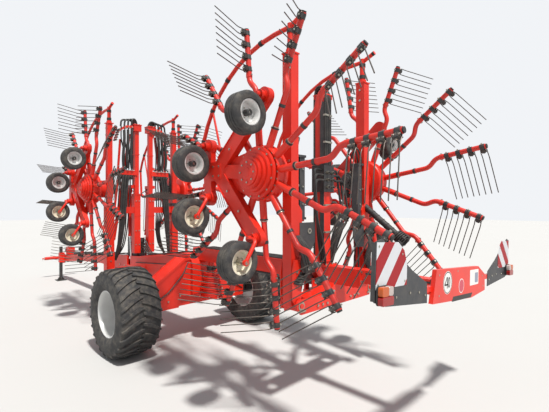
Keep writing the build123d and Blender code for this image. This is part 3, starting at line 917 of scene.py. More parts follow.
@dataclass
class Caster:
    """A support wheel of a rotor with its bent fork."""

    name: str
    dx: float
    z: float
    fork_side: int
    pale_disc: bool
    trail: float = 0.2
    axle_y: float = 1.295
    sleeve_out: float = 1.135
    wheel_r: float = 0.195
    wheel_w: float = 0.165
    rim_r: float = 0.112
    fork_r: float = 0.019
    fork_gap: float = 0.114

    def build(self, mast: Mast, side: Side) -> list[bpy.types.Object]:
        """Build the fork and the wheel on their bodies.

        Args:
            mast: Mast that carries them.
            side: Side of the machine.

        Returns:
            The objects of the caster.
        """
        tag = f"{mast.word}_{self.name}_{side.word}"
        x = mast.value + self.dx
        fork = self._fork(side, x).finish(f"fork_tube_{tag}", f"caster_fork_{tag}")
        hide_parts(f"caster_fork_{tag}")
        wheel = self._wheel(side, x).finish(f"support_wheel_{tag}", f"caster_wheel_{tag}")
        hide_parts(f"caster_wheel_{tag}")
        return [fork, wheel]

    def _fork(self, side: Side, x: float) -> Shape:
        """Build the bent tube, collar, knuckle and swivel pin.

        Args:
            side: Side of the machine.
            x: Place of the swivel along the machine.

        Returns:
            The filled shape.
        """
        shape = Shape(side)
        low, way = self.z - self.trail, self.fork_side
        tube_x = x + way * self.fork_gap
        collar_y = self.sleeve_out + 0.005
        base = self.sleeve_out + 0.027
        shape.tube([(x, 1.04, self.z), (x, collar_y, self.z)], 0.0195, ZINC, sides=16)
        collar = [(0.0, 0.022), (0.002, 0.03), (0.033, 0.03), (0.036, 0.026)]
        shape.turned(collar, (x, collar_y, self.z), (0, 1, 0), RED, 20)
        path = [(x, base, self.z), (tube_x, base, self.z), (tube_x, self.axle_y, low)]
        shape.tube(path, self.fork_r, RED, sides=14, bend=0.055, steps=6)
        for start, end, radius, finish, sides in (
            (tube_x - way * 0.014, tube_x + way * 0.016, 0.028, RED, 18),
            (tube_x + way * 0.016, tube_x + way * 0.018, 0.019, ZINC, 6),
            (tube_x - way * 0.014, x - way * 0.054, 0.0125, ZINC, 12),
        ):
            ends = [(place, self.axle_y, low) for place in (start, end)]
            shape.tube(ends, radius, finish, sides=sides)
        return shape

    def _wheel(self, side: Side, x: float) -> Shape:
        """Build the ribbed tyre, the rim and the hub.

        Args:
            side: Side of the machine.
            x: Place of the swivel along the machine.

        Returns:
            The filled shape.
        """
        shape = Shape(side)
        centre = (x, self.axle_y, self.z - self.trail)
        axis = (float(self.fork_side), 0.0, 0.0)
        h = self.wheel_w / 2
        r = self.wheel_r
        tread = []
        for n in range(4):
            y = -h * 0.6 + n * h * 0.4
            crown = r - 0.0015 - abs(y / h) ** 2 * 0.004
            tread += [(y - h * 0.16, crown), (y + h * 0.16, crown), (y + h * 0.18, crown - 0.007),
                      (y + h * 0.22, crown - 0.007)]
        tread = tread[:-2]
        profile = (
            [(-h * 0.72, self.rim_r), (-h * 0.97, self.rim_r + 0.012), (-h, self.rim_r + 0.035),
             (-h * 0.99, r * 0.84), (-h * 0.92, r * 0.93), (-h * 0.8, r * 0.972)]
            + tread
            + [(h * 0.8, r * 0.972), (h * 0.92, r * 0.93), (h * 0.99, r * 0.84),
               (h, self.rim_r + 0.035), (h * 0.97, self.rim_r + 0.012), (h * 0.72, self.rim_r)]
        )
        shape.turned(profile, centre, axis, TYRE, 44, closed=True)
        skin = CREAM if self.pale_disc else SILVER
        rim = [
            (-h * 0.82, self.rim_r + 0.004), (-h * 0.82, self.rim_r - 0.006),
            (-h * 0.5, self.rim_r - 0.022), (0.0, self.rim_r - 0.026), (0.004, 0.06),
            (0.001, 0.032), (0.014, 0.032), (0.017, 0.06), (0.013, self.rim_r - 0.024),
            (h * 0.5, self.rim_r - 0.022), (h * 0.82, self.rim_r - 0.006),
            (h * 0.82, self.rim_r + 0.004), (h * 0.3, self.rim_r - 0.01),
            (-h * 0.3, self.rim_r - 0.01),
        ]
        shape.turned(rim, centre, axis, skin, 36, closed=True)
        hub = [(-0.062, 0.0126), (-0.062, 0.026), (-0.056, 0.031), (0.068, 0.031), (0.075, 0.027),
               (0.075, 0.0126)]
        shape.turned(hub, centre, axis, ZINC if self.pale_disc else BLACK, 24, closed=True)
        for c, s in circle(5):
            foot = (x - 0.004 * self.fork_side, centre[1] + 0.046 * c, centre[2] + 0.046 * s)
            shape.stud(foot, (0.03 * self.fork_side, 0, 0), 0.0075)
        return shape


@dataclass
class Carrier:
    """Dress of a rotor's undercarriage: rings of the bell, flanges and collars."""

    hub_dx: float = 0.12
    hub_z: float = 2.42
    bell: tuple[Flat, ...] = (
        (1.015, 0.25), (1.045, 0.215), (1.075, 0.18), (1.105, 0.15), (1.135, 0.12),
    )
    bell_out: float = 1.15
    band: Flat = (1.015, 1.08)
    apex: Flat = (0.70, 2.47)
    leg_half: float = 0.079
    sleeve_r: float = 0.045
    sleeve_out: float = 1.135

    def build(self, mast: Mast, side: Side, casters: Sequence[Caster]) -> list[bpy.types.Object]:
        """Build the dress on the body that carries the rotor.

        Args:
            mast: Mast that carries it.
            side: Side of the machine.
            casters: Support wheels of the rotor.

        Returns:
            The objects.
        """
        body = f"boom_rear_{side.word}" if mast is Mast.REAR else f"undercarriage_front_{side.word}"
        shape = Shape(side)
        hub = (mast.value + self.hub_dx, 0.0, self.hub_z)
        self._rings(shape, hub)
        self._flanges(shape, mast, casters)
        for caster in casters:
            self._swivel(shape, mast.value + caster.dx, caster.z)
        return [shape.finish(f"carrier_dress_{mast.word}_{side.word}", body)]

    def _rings(self, shape: Shape, hub: Point) -> None:
        """Build the ridges of the bell, its bolts and its cap.

        Args:
            shape: Shape that takes the faces.
            hub: Centre of the rotor on the middle plane.
        """
        ends = [low for low, _ in self.bell[1:]] + [self.bell_out]
        for (low, radius), high in zip(self.bell, ends):
            for part in (0.12, 0.56):
                y = low + (high - low) * part
                profile = [
                    (y, radius - 0.012), (y, radius + 0.005), (y + 0.002, radius + 0.007),
                    (y + 0.005, radius + 0.007), (y + 0.007, radius + 0.005), (y + 0.007, radius - 0.012),
                ]
                shape.turned(profile, hub, (0, 1, 0), RED, 56, closed=True)
        out = self.bell_out
        cap = [
            (out, 0.075), (out + 0.006, 0.07), (out + 0.008, 0.05), (out + 0.013, 0.046),
            (out + 0.015, 0.036),
        ]
        shape.turned(cap, hub, (0, 1, 0), RED, 28)
        for count, first, reach, y in ((8, 0.0, 0.096, out), (12, math.pi / 12, 0.234, 1.044)):
            for c, s in circle(count, first):
                shape.stud((hub[0] + reach * c, y, hub[2] + reach * s), (0, 0.009, 0), 0.009)

    def _flanges(self, shape: Shape, mast: Mast, casters: Sequence[Caster]) -> None:
        """Build the folded edges of the two legs and the plates at the apex.

        Args:
            shape: Shape that takes the faces.
            mast: Mast that carries the rotor.
            casters: Support wheels of the rotor.
        """
        apex = Vector((mast.value + self.apex[0], 0.0, self.apex[1]))
        for caster in casters[:2]:
            end = Vector((mast.value + caster.dx, 0.0, caster.z))
            way = (end - apex).normalized()
            across = Vector((-way.z, 0.0, way.x))
            for edge in (-1, 1):
                a = apex + way * 0.12 + across * edge * self.leg_half
                b = end - way * 0.06 + across * edge * self.leg_half
                lip = across * edge * 0.006
                outline = [(p.x, self.band[1] - 0.002, p.z) for p in (a, b, b + lip, a + lip)]
                shape.prism(outline, (0, 0.014, 0), RED)
            for part in (0.32, 0.62):
                p = apex + (end - apex) * part
                shape.stud((p.x, 1.079, p.z), (0, 0.0045, 0), 0.028, RED, 20)
                shape.stud((p.x, 1.083, p.z), (0, 0.011, 0), 0.012)
        x, z = apex.x, apex.z
        for dx, dz in ((-0.05, 0.05), (-0.05, -0.05), (0.05, 0.05), (0.05, -0.05)):
            shape.stud((x + dx, 1.079, z + dz), (0, 0.013, 0), 0.011)
        shape.block((x - 0.08, 1.079, z - 0.08), (x + 0.08, 1.084, z + 0.08), RED)

    def _swivel(self, shape: Shape, x: float, z: float) -> None:
        """Build the collars of a swivel sleeve with its grease nipple.

        Args:
            shape: Shape that takes the faces.
            x: Place of the swivel along the machine.
            z: Height of the swivel.
        """
        r = self.sleeve_r
        out = self.sleeve_out
        for low, high, grow in ((self.band[1], 1.088, 0.009), (out - 0.012, out, 0.005)):
            shape.collar((x, 0, z), (0, 1, 0), (low, high), (r - 0.004, r + grow), RED, 28)
        shape.stud((x, 1.108, z + r - 0.003), (0, 0, 0.015), 0.004, sides=8)


@dataclass
class Boom:
    """Dress of a boom: caps, clips, hoses and the drive on its gear head."""

    y: float = 0.67
    half_x: float = 0.06
    half_y: float = 0.055
    top: float = 3.64
    tip: float = 3.95
    hub_dx: float = 0.12
    hub_z: float = 2.42
    guard_y: float = 0.674
    guard_r: float = 0.025
    guard_arc: float = 1.49
    sleeve: Triple = (0.075, 0.07, 2.15)
    hose_r: float = 0.011

    def build(self, mast: Mast, side: Side) -> list[bpy.types.Object]:
        """Build the dress on the boom's bodies.

        Args:
            mast: Mast that the boom stands at.
            side: Side of the machine.

        Returns:
            The objects.
        """
        low = f"boom_{mast.word}_{side.word}"
        high = low if mast is Mast.REAR else f"undercarriage_front_{side.word}"
        upper = Shape(side)
        self._top(upper, mast.value)
        self._guard(upper, mast.value)
        self._gear_head(upper, mast.value)
        lower = Shape(side)
        self._foot(lower, mast)
        if mast is Mast.REAR:
            self._hoses(lower, mast.value)
            self._rack(lower, mast.value)
        else:
            self._wiper(lower, mast.value)
        return [
            upper.finish(f"boom_top_{mast.word}_{side.word}", high),
            lower.finish(f"boom_foot_{mast.word}_{side.word}", low),
        ]

    def _top(self, shape: Shape, x: float) -> None:
        """Build the lid of the beam and the rings of the thin tube.

        Args:
            shape: Shape that takes the faces.
            x: Place of the mast.
        """
        shape.block(
            (x - self.half_x - 0.008, self.y - self.half_y - 0.008, self.top - 0.004),
            (x + self.half_x + 0.008, self.y + self.half_y + 0.008, self.top + 0.01), RED,
        )
        for z, radius, height, finish in (
            (self.top + 0.01, 0.048, 0.035, RED),
            (self.top + 0.06, 0.040, 0.045, MOULDED),
            (self.tip - 0.10, 0.039, 0.04, MOULDED),
        ):
            shape.collar((x, self.y, z), (0, 0, 1), (0, height), (0.03, radius), finish, 24)
        for z in (self.top - 0.09, self.top - 0.22):
            for sign in (-1, 1):
                shape.stud((x, self.y + sign * self.half_y, z), (0, sign * 0.011, 0), 0.014)

    def _guard(self, shape: Shape, x: float) -> None:
        """Build the clips and end caps of the guard hoop.

        Args:
            shape: Shape that takes the faces.
            x: Place of the mast.
        """
        hub = Vector((x + self.hub_dx, self.guard_y, self.hub_z))
        for angle in (12, 37, 54, 70):
            a = math.radians(angle)
            here = hub + Vector((math.sin(a), 0, math.cos(a))) * self.guard_arc
            way = Vector((math.cos(a), 0, -math.sin(a))) * 0.022
            shape.tube([here - way, here + way], self.guard_r + 0.005, MOULDED, sides=16)
        root = Vector((x, self.guard_y, self.hub_z + self.guard_arc * 1.004))
        end = root + Vector((-0.17, 0, 0.074))
        way = (end - root).normalized()
        shape.tube([end - way * 0.035, end - way * 0.004], self.guard_r + 0.0008, MOULDED, sides=16)
        for part, drop in ((0.906, 0.06), (0.59, 0.16)):
            place = hub + Vector((self.guard_arc * part, -0.03, -drop))
            shape.stud(place, (0, 0.06, 0), self.guard_r + 0.004, RED, 16)

    def _gear_head(self, shape: Shape, x: float) -> None:
        """Build the ribs, bolts and drive motor of the gear head.

        Args:
            shape: Shape that takes the faces.
            x: Place of the mast.
        """
        cx, cz = x + self.hub_dx, self.hub_z
        for y in (0.732, 0.756, 0.78, 0.804):
            shape.collar((cx, 0, cz), (0, 1, 0), (y, y + 0.008), (0.14, 0.158), RED, 40)
        for dx in (-0.15, 0.09):
            for dz in (-0.13, 0.13):
                shape.stud((cx + dx, 0.725, cz + dz), (0, 0.012, 0), 0.013)
        motor = [
            (0.0, 0.115), (0.018, 0.115), (0.02, 0.088), (0.035, 0.088), (0.037, 0.096), (0.047, 0.096),
            (0.049, 0.088), (0.062, 0.088), (0.064, 0.096), (0.074, 0.096), (0.076, 0.088), (0.09, 0.088),
            (0.092, 0.096), (0.102, 0.096), (0.104, 0.08), (0.125, 0.074), (0.13, 0.05), (0.15, 0.048),
        ]
        shape.turned(motor, (cx, 0.615, cz), (0, -1, 0), BLACK, 36)
        for c, s in circle(6, 0.3):
            shape.stud((cx + 0.104 * c, 0.598, cz + 0.104 * s), (0, -0.01, 0), 0.008)
        face = self.y - self.half_y - 0.014
        port_z = cz + 0.088
        for dx in (-0.03, 0.03):
            port_x = cx + dx
            shape.stud((port_x, 0.545, port_z), (0, 0, 0.03), 0.014, sides=8)
            shape.hose(
                [(port_x, 0.545, port_z + 0.03), (port_x, 0.545, port_z + 0.22),
                 (port_x - 0.1, 0.535, port_z + 0.36 + dx), (x + dx * 0.8, face, port_z + 0.2),
                 (x + dx * 0.8, face, port_z - 0.16)],
                self.hose_r, 0.1, steps=6,
            )

    def _foot(self, shape: Shape, mast: Mast) -> None:
        """Build the cheek plates and bolts near the pivot, and a rear boom's hose loops.

        Args:
            shape: Shape that takes the faces.
            mast: Mast at the pivot.
        """
        x, z0 = mast.value, mast.pivot_z
        outline = [
            (y, z0 + rise) for y, rise in (
                (0.60, 0.04), (0.60, 0.36), (0.63, 0.46), (0.71, 0.46), (0.735, 0.34), (0.735, 0.07),
                (0.69, 0),
            )
        ]
        for start in (x - 0.085, x + 0.073):
            shape.slab(start, outline, 0.012, RED)
        for z in (z0 + 0.22, z0 + 0.34):
            for sign in (-1, 1):
                shape.stud((x + sign * 0.084, 0.67, z), (sign * 0.012, 0, 0), 0.015)
        for n in range(5 if mast is Mast.REAR else 0):
            y = 0.655 - 0.022 * n
            low = z0 + 0.21 + 0.022 * n
            shape.hose(
                [(x - 0.07, y + 0.05, z0 + 0.70), (x - 0.13 - 0.012 * n, y, z0 + 0.55),
                 (x - 0.15, y - 0.07, low + 0.1), (x - 0.11, y - 0.02, low),
                 (x - 0.085, y + 0.06, low + 0.03)],
                0.014, 0.08,
            )

    def _wiper(self, shape: Shape, x: float) -> None:
        """Build the black frame on the sleeve's mouth and its bolts.

        Args:
            shape: Shape that takes the faces.
            x: Place of the mast.
        """
        hx, hy, top = self.sleeve
        x0, x1 = x - hx - 0.008, x + hx + 0.008
        y0, y1 = self.y - hy, self.y + hy
        for low, high in (
            ((x0, y0 - 0.008), (x1, y0 + 0.02)),
            ((x0, y1 - 0.02), (x1, y1 + 0.008)),
            ((x0, y0 + 0.02), (x - hx + 0.018, y1 - 0.02)),
            ((x + hx - 0.018, y0 + 0.02), (x1, y1 - 0.02)),
        ):
            shape.block((*low, top - 0.05), (*high, top + 0.012), BLACK)
        for z in (1.5, 1.8, 2.04):
            for sign in (-1, 1):
                shape.stud((x, self.y + sign * hy, z), (0, sign * 0.012, 0), 0.014)

    def _hoses(self, shape: Shape, x: float) -> None:
        """Run two hoses down the inner face of a rear boom, with clips.

        Args:
            shape: Shape that takes the faces.
            x: Place of the mast.
        """
        face = self.y - self.half_y
        for dx in (-0.024, 0.024):
            shape.hose(
                [(x + dx, face - 0.014, 2.36), (x + dx, face - 0.014, 1.95), (x + dx, face - 0.075, 1.7),
                 (x + dx, face - 0.075, 1.5), (x + dx * 1.4, 0.53, 1.32), (x + dx * 1.4, 0.56, 1.2)],
                self.hose_r, 0.09,
            )
        for z in (2.3, 2.08):
            shape.block((x - 0.045, face - 0.028, z), (x + 0.045, face + 0.002, z + 0.022), ZINC)

    def _rack(self, shape: Shape, x: float) -> None:
        """Build the dark hose tray and bracket plate beside a rear boom.

        Args:
            shape: Shape that takes the faces.
            x: Place of the mast.
        """
        shape.block((x - 0.045, 0.50, 1.98), (x + 0.045, 0.575, 2.62), SOOT)
        for z in (2.6, 1.96):
            shape.block((x - 0.055, 0.49, z), (x + 0.055, 0.62, z + 0.025), BLACK)
        plate = ((0.36, 1.93), (0.60, 1.93), (0.60, 1.60), (0.46, 1.60), (0.36, 1.72))
        shape.slab(x - 0.066, plate, 0.006, SOOT)
        shape.collar((x - 0.072, 0.45, 1.84), (1, 0, 0), (0, 0.006), (0.014, 0.03), ZINC, 20)
        for z in (2.12, 2.30, 2.48):
            shape.stud((x - 0.045, 0.54, z), (-0.011, 0, 0), 0.01)


@dataclass
class FoldCylinder:
    """Dress of a fold cylinder: gland, ports, hard pipe and hose."""

    base: Flat
    eye: Flat
    barrel_end: float
    barrel_finish: Finish
    dx: float = 0.19
    barrel_r: float = 0.045
    ports: Flat = (0.12, 0.095)

    def build(self, mast: Mast, side: Side) -> list[bpy.types.Object]:
        """Build the dress on the barrel's body.

        Args:
            mast: Mast beside the cylinder.
            side: Side of the machine.

        Returns:
            The objects.
        """
        shape = Shape(side)
        x = mast.value + self.dx
        base = Vector((x, *self.base))
        way = (Vector((x, *self.eye)) - base).normalized()
        over = Vector((0, -abs(way.z), way.y))
        r = self.barrel_r
        end = self.barrel_end
        near, far = self.ports[0], end - self.ports[1]
        gland = [
            (-0.05, r - 0.004), (-0.05, r + 0.006), (-0.008, r + 0.006), (0.0, r), (0.0, 0.027),
            (-0.03, 0.027),
        ]
        shape.turned(gland, base + way * end, way, self.barrel_finish, 28, closed=True)
        shape.collar(base, way, (0.03, 0.06), (r - 0.004, r + 0.004), self.barrel_finish, 28)
        for along in (near, far):
            shape.stud(base + way * along + over * (r - 0.004), over * 0.028, 0.014, sides=8)
        low = base + way * near + over * (r + 0.02)
        high = base + way * far + over * (r + 0.02)
        pipe = Vector((0.022, 0, 0))
        run = [high, high + pipe, low + pipe + way * 0.04, low + pipe - way * 0.03]
        shape.tube(run, 0.006, ZINC, sides=8, bend=0.02)
        shape.hose(
            [low, low + over * 0.07, low + over * 0.09 - way * 0.08, base + over * 0.03 - way * 0.03],
            0.009, 0.04, steps=4,
        )
        tag = f"{mast.word}_{side.word}"
        return [shape.finish(f"fold_cylinder_dress_{tag}", f"fold_barrel_{tag}")]


@dataclass
class RoadWheel:
    """A flotation tyre on a deep rim with its hub."""

    x: float = 2.70
    y: float = 1.20
    radius: float = 0.615
    width: float = 0.60
    rim_r: float = 0.312
    lugs: int = 26
    lug_height: float = 0.026
    lug_thick: float = 0.036
    lug_steps: int = 7
    nuts: int = 8
    nut_circle: float = 0.105

    def build(self, side: Side) -> list[bpy.types.Object]:
        """Build one road wheel on its body.

        Args:
            side: Side of the machine.

        Returns:
            The objects of the wheel.
        """
        body = f"main_wheel_{side.word}"
        tyre = self._tyre(side).finish(f"flotation_tyre_{side.word}", body, angle=40.0)
        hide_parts(body)
        rim = self._rim(side).finish(f"road_rim_{side.word}", body)
        return [tyre, rim]

    def _crown(self, y: float) -> float:
        """Return the carcass radius at a distance from the tyre's middle."""
        t = abs(y) / (self.width / 2)
        return self.radius - self.lug_height - 0.02 * t ** 2 - 0.06 * max(0.0, t - 0.82) ** 1.3 * 8

    def _tyre(self, side: Side) -> Shape:
        """Build the carcass with its curved lugs.

        Args:
            side: Side of the machine.

        Returns:
            The filled shape.
        """
        shape = Shape(side)
        centre = (self.x, self.y, self.radius)
        h = self.width / 2
        bead = [(-h * 0.80, self.rim_r), (-h * 0.88, self.rim_r + 0.02), (-h * 0.965, 0.375),
                (-h * 0.985, 0.43), (-h * 0.955, 0.485)]
        crown = [(y, self._crown(y)) for y in (-h * 0.9, -h * 0.8, -h * 0.6, -h * 0.3, 0.0)]
        left = bead + crown
        profile = left + [(-y, r) for y, r in reversed(left[:-1])]
        shape.turned(profile, centre, (0, 1, 0), TYRE, 72, closed=True)
        for n in range(self.lugs):
            for sign in (-1, 1):
                start = 2 * math.pi * (n + (0.5 if sign > 0 else 0.0)) / self.lugs
                self._lug(shape, start, sign, h)
        return shape

    def _lug(self, shape: Shape, start: float, sign: int, half: float) -> None:
        """Build one lug from the shoulder to past the middle.

        Args:
            shape: Shape that takes the faces.
            start: Angle of the lug at the shoulder.
            sign: Side of the tyre.
            half: Half the tyre's width.
        """
        rings = []
        for k in range(self.lug_steps + 1):
            t = k / self.lug_steps
            y = sign * half * (0.93 - 0.98 * t)
            angle = start + 0.42 * t - 0.16 * t * t
            thick = self.lug_thick + 0.012 * math.sin(math.pi * t) if k else 0.03
            base = self._crown(min(abs(y), half * 0.93) * (1 if y > 0 else -1)) - 0.012
            top = min(self.radius - 0.0015 - 0.006 * (abs(y) / half) ** 2,
                      base + 0.012 + self.lug_height)
            ring = []
            for spread, r in ((-1.15, base), (-0.85, top), (0.85, top), (1.15, base)):
                a = angle + spread * thick / 2 / self.radius
                ring.append(Vector((self.x + r * math.sin(a), self.y + y, self.radius + r * math.cos(a))))
            rings.append(ring if sign > 0 else list(reversed(ring)))
        shape.rings(rings, TYRE)

    def _rim(self, side: Side) -> Shape:
        """Build the deep rim with its disc, hub and nuts.

        Args:
            side: Side of the machine.

        Returns:
            The filled shape.
        """
        shape = Shape(side)
        centre = (self.x, self.y, self.radius)
        h = self.width / 2
        r = self.rim_r
        profile = [
            (h * 0.84, r + 0.012), (h * 0.85, r), (h * 0.80, r - 0.012), (h * 0.62, r - 0.02),
            (h * 0.2, r - 0.034), (-0.05, r - 0.05), (-0.06, 0.2), (-0.045, 0.13), (-0.045, 0.05),
            (-0.06, 0.05), (-0.06, 0.13), (-0.075, 0.2), (-0.07, r - 0.04), (-h * 0.62, r - 0.02),
            (-h * 0.85, r), (-h * 0.84, r + 0.012), (-h * 0.3, r - 0.012), (h * 0.3, r - 0.012),
        ]
        shape.turned(profile, centre, (0, 1, 0), SILVER, 56, closed=True)
        hub = [
            (-0.2, AXLE_BORE), (-0.2, 0.085), (-0.05, 0.09), (0.0, 0.075), (0.045, 0.07), (0.065, 0.055),
            (0.078, AXLE_BORE),
        ]
        shape.turned(hub, centre, (0, 1, 0), BLACK, 32, closed=True)
        cap = [(0.06, 0.044), (0.088, 0.04), (0.094, 0.03)]
        shape.turned(cap, centre, (0, 1, 0), ZINC, 24)
        reach = self.nut_circle
        for c, s in circle(self.nuts):
            foot = (self.x + reach * c, self.y - 0.05, self.radius + reach * s)
            shape.stud(foot, (0, 0.03, 0), 0.014)
        return shape


@dataclass
class FrontColumn:
    """Dress of the column beside a front boom: head, valve block and hoses."""

    x: float = 4.6
    y: float = 0.145
    wide: float = 0.062
    slim: float = 0.04
    step: float = 2.34
    head: float = 3.68
    valve: Triple = (0.205, 0.52, 2.70)
    hose_r: float = 0.012
    thick_r: float = 0.026
    outlets: int = 5
    pitch: float = 0.052

    def build(self, side: Side) -> list[bpy.types.Object]:
        """Build the dress on the front boom's body.

        Args:
            side: Side of the machine.

        Returns:
            The objects.
        """
        shape = Shape(side)
        self._head(shape)
        self._arm(shape)
        self._valves(shape)
        self._links(shape)
        self._hoses(shape)
        return [shape.finish(f"hose_column_{side.word}", f"boom_front_{side.word}")]

    def _head(self, shape: Shape) -> None:
        """Build the lid, collars and bolts of the column.

        Args:
            shape: Shape that takes the faces.
        """
        x, y, top = self.x, self.y, self.head
        shape.block((x - 0.085, y - 0.08, top - 0.002), (x + 0.085, y + 0.085, top + 0.012), RED)
        for z, half in (
            (self.step - 0.02, self.wide + 0.008), (1.9, self.wide + 0.006), (3.1, self.slim + 0.007),
        ):
            shape.block((x - half, y - half, z), (x + half, y + half, z + 0.02), RED)
        for dx in (-0.05, 0.05):
            for dy in (-0.045, 0.045):
                shape.stud((x + dx, y + dy, top + 0.012), (0, 0, 0.014), 0.013)
        for z in (1.35, 1.62, 2.2):
            for dy in (-0.03, 0.03):
                shape.stud((x - self.wide, y + dy, z), (-0.012, 0, 0), 0.012)

    def _arm(self, shape: Shape) -> None:
        """Build the bent arm that carries the hose ends beside the head.

        Args:
            shape: Shape that takes the faces.
        """
        x, y, top = self.x, self.y, self.head
        line = [(y + 0.05, top - 0.02), (y + 0.22, top - 0.035), (0.50, top - 0.12), (0.565, top - 0.30)]
        under = [(b, z - 0.045) for b, z in reversed(line)]
        for dx in (-0.05, 0.038):
            shape.slab(x + dx, line + under, 0.012, RED)
        for k in range(5):
            t = k / 4
            b = 0.50 + 0.055 * t
            z = top - 0.13 - 0.20 * t
            shape.stud((x - 0.062, b, z), (0.122, 0, 0), 0.018, BLACK, 10)
            shape.stud((x - 0.078, b, z), (0.016, 0, 0), 0.011)
        for b in (0.25, 0.32, 0.39):
            shape.stud((x - 0.072, b, top - 0.05 - (b - 0.2) * 0.15), (0.122, 0, 0), 0.014, sides=8)

    def _links(self, shape: Shape) -> None:
        """Build the slanting red channels beside the column.

        Args:
            shape: Shape that takes the faces.
        """
        x = self.x + 0.02
        for (y0, z0), (y1, z1), wide in (
            ((0.245, 3.50), (0.335, 2.80), 0.05), ((0.43, 3.38), (0.47, 2.80), 0.035),
            ((0.36, 2.61), (0.545, 1.45), 0.055), ((0.47, 2.61), (0.555, 1.90), 0.035),
        ):
            shape.slab(x, ((y0, z0), (y0 + wide, z0), (y1 + wide, z1), (y1, z1)), 0.03, RED)
            for y, z in ((y0 + wide / 2, z0 - 0.05), (y1 + wide / 2, z1 + 0.06)):
                shape.stud((x, y, z), (-0.014, 0, 0), 0.014)

    def _valves(self, shape: Shape) -> None:
        """Build the valve block under the plate with its fittings.

        Args:
            shape: Shape that takes the faces.
        """
        x = self.x
        inner, outer, z = self.valve
        shape.block((x - 0.068, inner + 0.005, z + 0.086), (x + 0.064, outer + 0.008, z + 0.096), PALE)
        shape.block((x - 0.05, inner + 0.03, z - 0.085), (x + 0.05, outer - 0.02, z - 0.001), BLACK)
        for n in range(self.outlets):
            b = inner + 0.06 + n * self.pitch
            shape.stud((x - 0.05, b, z - 0.035), (-0.028, 0, 0), 0.017, sides=8)
            shape.stud((x - 0.078, b, z - 0.035), (-0.012, 0, 0), 0.012, INK)
            shape.stud((x, b, z - 0.085), (0, 0, -0.03), 0.016, sides=8)
        filter_at = (x - 0.02, outer - 0.04)
        shape.stud((*filter_at, z - 0.08), (0, 0, -0.12), 0.024, BLACK, 12)
        shape.stud((*filter_at, z - 0.2), (0, 0, -0.025), 0.017, sides=8)

    def _hoses(self, shape: Shape) -> None:
        """Run the hoses over the head, down to the block and on to the foot.

        Args:
            shape: Shape that takes the faces.
        """
        x, r, head = self.x, self.hose_r, self.head
        inner, _, z = self.valve
        for n in range(self.outlets):
            b = inner + 0.06 + n * self.pitch
            dx = -0.028 + 0.014 * n
            spread = 0.30 + 0.026 * n
            shape.hose(
                [(x, b, z - 0.11), (x, b, z - 0.2), (x + dx * 0.5, b + 0.02, z - 0.55),
                 (x + 0.09 + dx, spread, 1.62), (x + 0.10 + dx, spread + 0.06, 1.3),
                 (x + 0.09, 0.54, 1.06)],
                r, 0.12,
            )
        for n in range(3):
            shape.hose(
                [(x - 0.085, 0.27 + 0.075 * n, head - 0.10 - 0.02 * n), (x - 0.10, 0.28 + 0.07 * n, 3.40),
                 (x - 0.10, 0.30 + 0.075 * n, 3.0), (x - 0.085, 0.27 + 0.08 * n, z + 0.12)],
                self.thick_r, 0.2, sides=10,
            )
            shape.hose(
                [(x - 0.085, 0.34 + 0.05 * n, z - 0.03), (x - 0.10, 0.38 + 0.045 * n, z - 0.30),
                 (x - 0.10, 0.43 + 0.035 * n, 1.75), (x - 0.06, 0.51 + 0.01 * n, 1.25),
                 (x - 0.01, 0.555, 1.08)],
                self.thick_r * 0.9, 0.2, sides=10,
            )
        for n in range(4):
            b = 0.25 + n * 0.07
            height = head + 0.105 - 0.012 * n
            shape.hose(
                [(x - 0.03, inner + 0.05 + n * 0.05, z + 0.09), (x - 0.04, inner + 0.05 + n * 0.045, z + 0.4),
                 (x - 0.055 + 0.008 * n, b, head - 0.30), (x - 0.045, b, head - 0.06)],
                r, 0.1,
            )
            lift = self.y + 0.02 + 0.03 * n
            down = (x + 0.055 + 0.004 * n, self.y + 0.01 * n)
            shape.hose(
                [(x - 0.02, b, head - 0.06), (x - 0.02, b - 0.01, height), (x + 0.01, lift, height + 0.02),
                 (x + 0.03, lift - 0.05, head + 0.04), (*down, head - 0.2), (*down, self.step + 0.1)],
                r * 1.5, 0.07,
            )


@dataclass
class DriveGuard:
    """Black guard tube of the drive shaft on the right rear boom."""

    start: Point = (0.215, 0.67, 2.29)
    end: Point = (-0.57, 0.67, 1.68)
    radius: float = 0.038

    def build(self, side: Side) -> list[bpy.types.Object]:
        """Build the guard tube with its bearing rings.

        Args:
            side: Side of the machine.

        Returns:
            The objects.
        """
        shape = Shape(side)
        start, end = Vector(self.start), Vector(self.end)
        way = (end - start).normalized()
        length = (end - start).length
        r = self.radius
        profile = [(0.0, 0.02), (0.0, r + 0.03), (0.05, r + 0.03), (0.055, r)]
        for k in range(1, 10):
            along = 0.055 + (length - 0.2) * k / 10
            profile += [(along, r), (along + 0.004, r + 0.004), (along + 0.01, r + 0.004), (along + 0.014, r)]
        profile += [(length - 0.15, r), (length - 0.14, r + 0.02)]
        for k in range(5):
            along = length - 0.13 + 0.026 * k
            rib = r + 0.035 + 0.003 * k
            profile += [(along, rib), (along + 0.012, rib), (along + 0.018, r + 0.026)]
        profile += [(length, r + 0.04), (length, r + 0.01), (length - 0.05, 0.03)]
        shape.turned(profile, start, way, MOULDED, 28)
        up = way.orthogonal().normalized()
        across = way.cross(up)
        for c, s in circle(8):
            here = end + (up * c + across * s) * (r + 0.042) - way * 0.03
            shape.tube([here - way * 0.02, here + way * 0.03], 0.011, MOULDED, sides=6)
        shape.block((-0.02, 0.60, 2.06), (0.03, 0.70, 2.10), ZINC)
        return [shape.finish(f"drive_guard_{side.word}", f"boom_rear_{side.word}")]


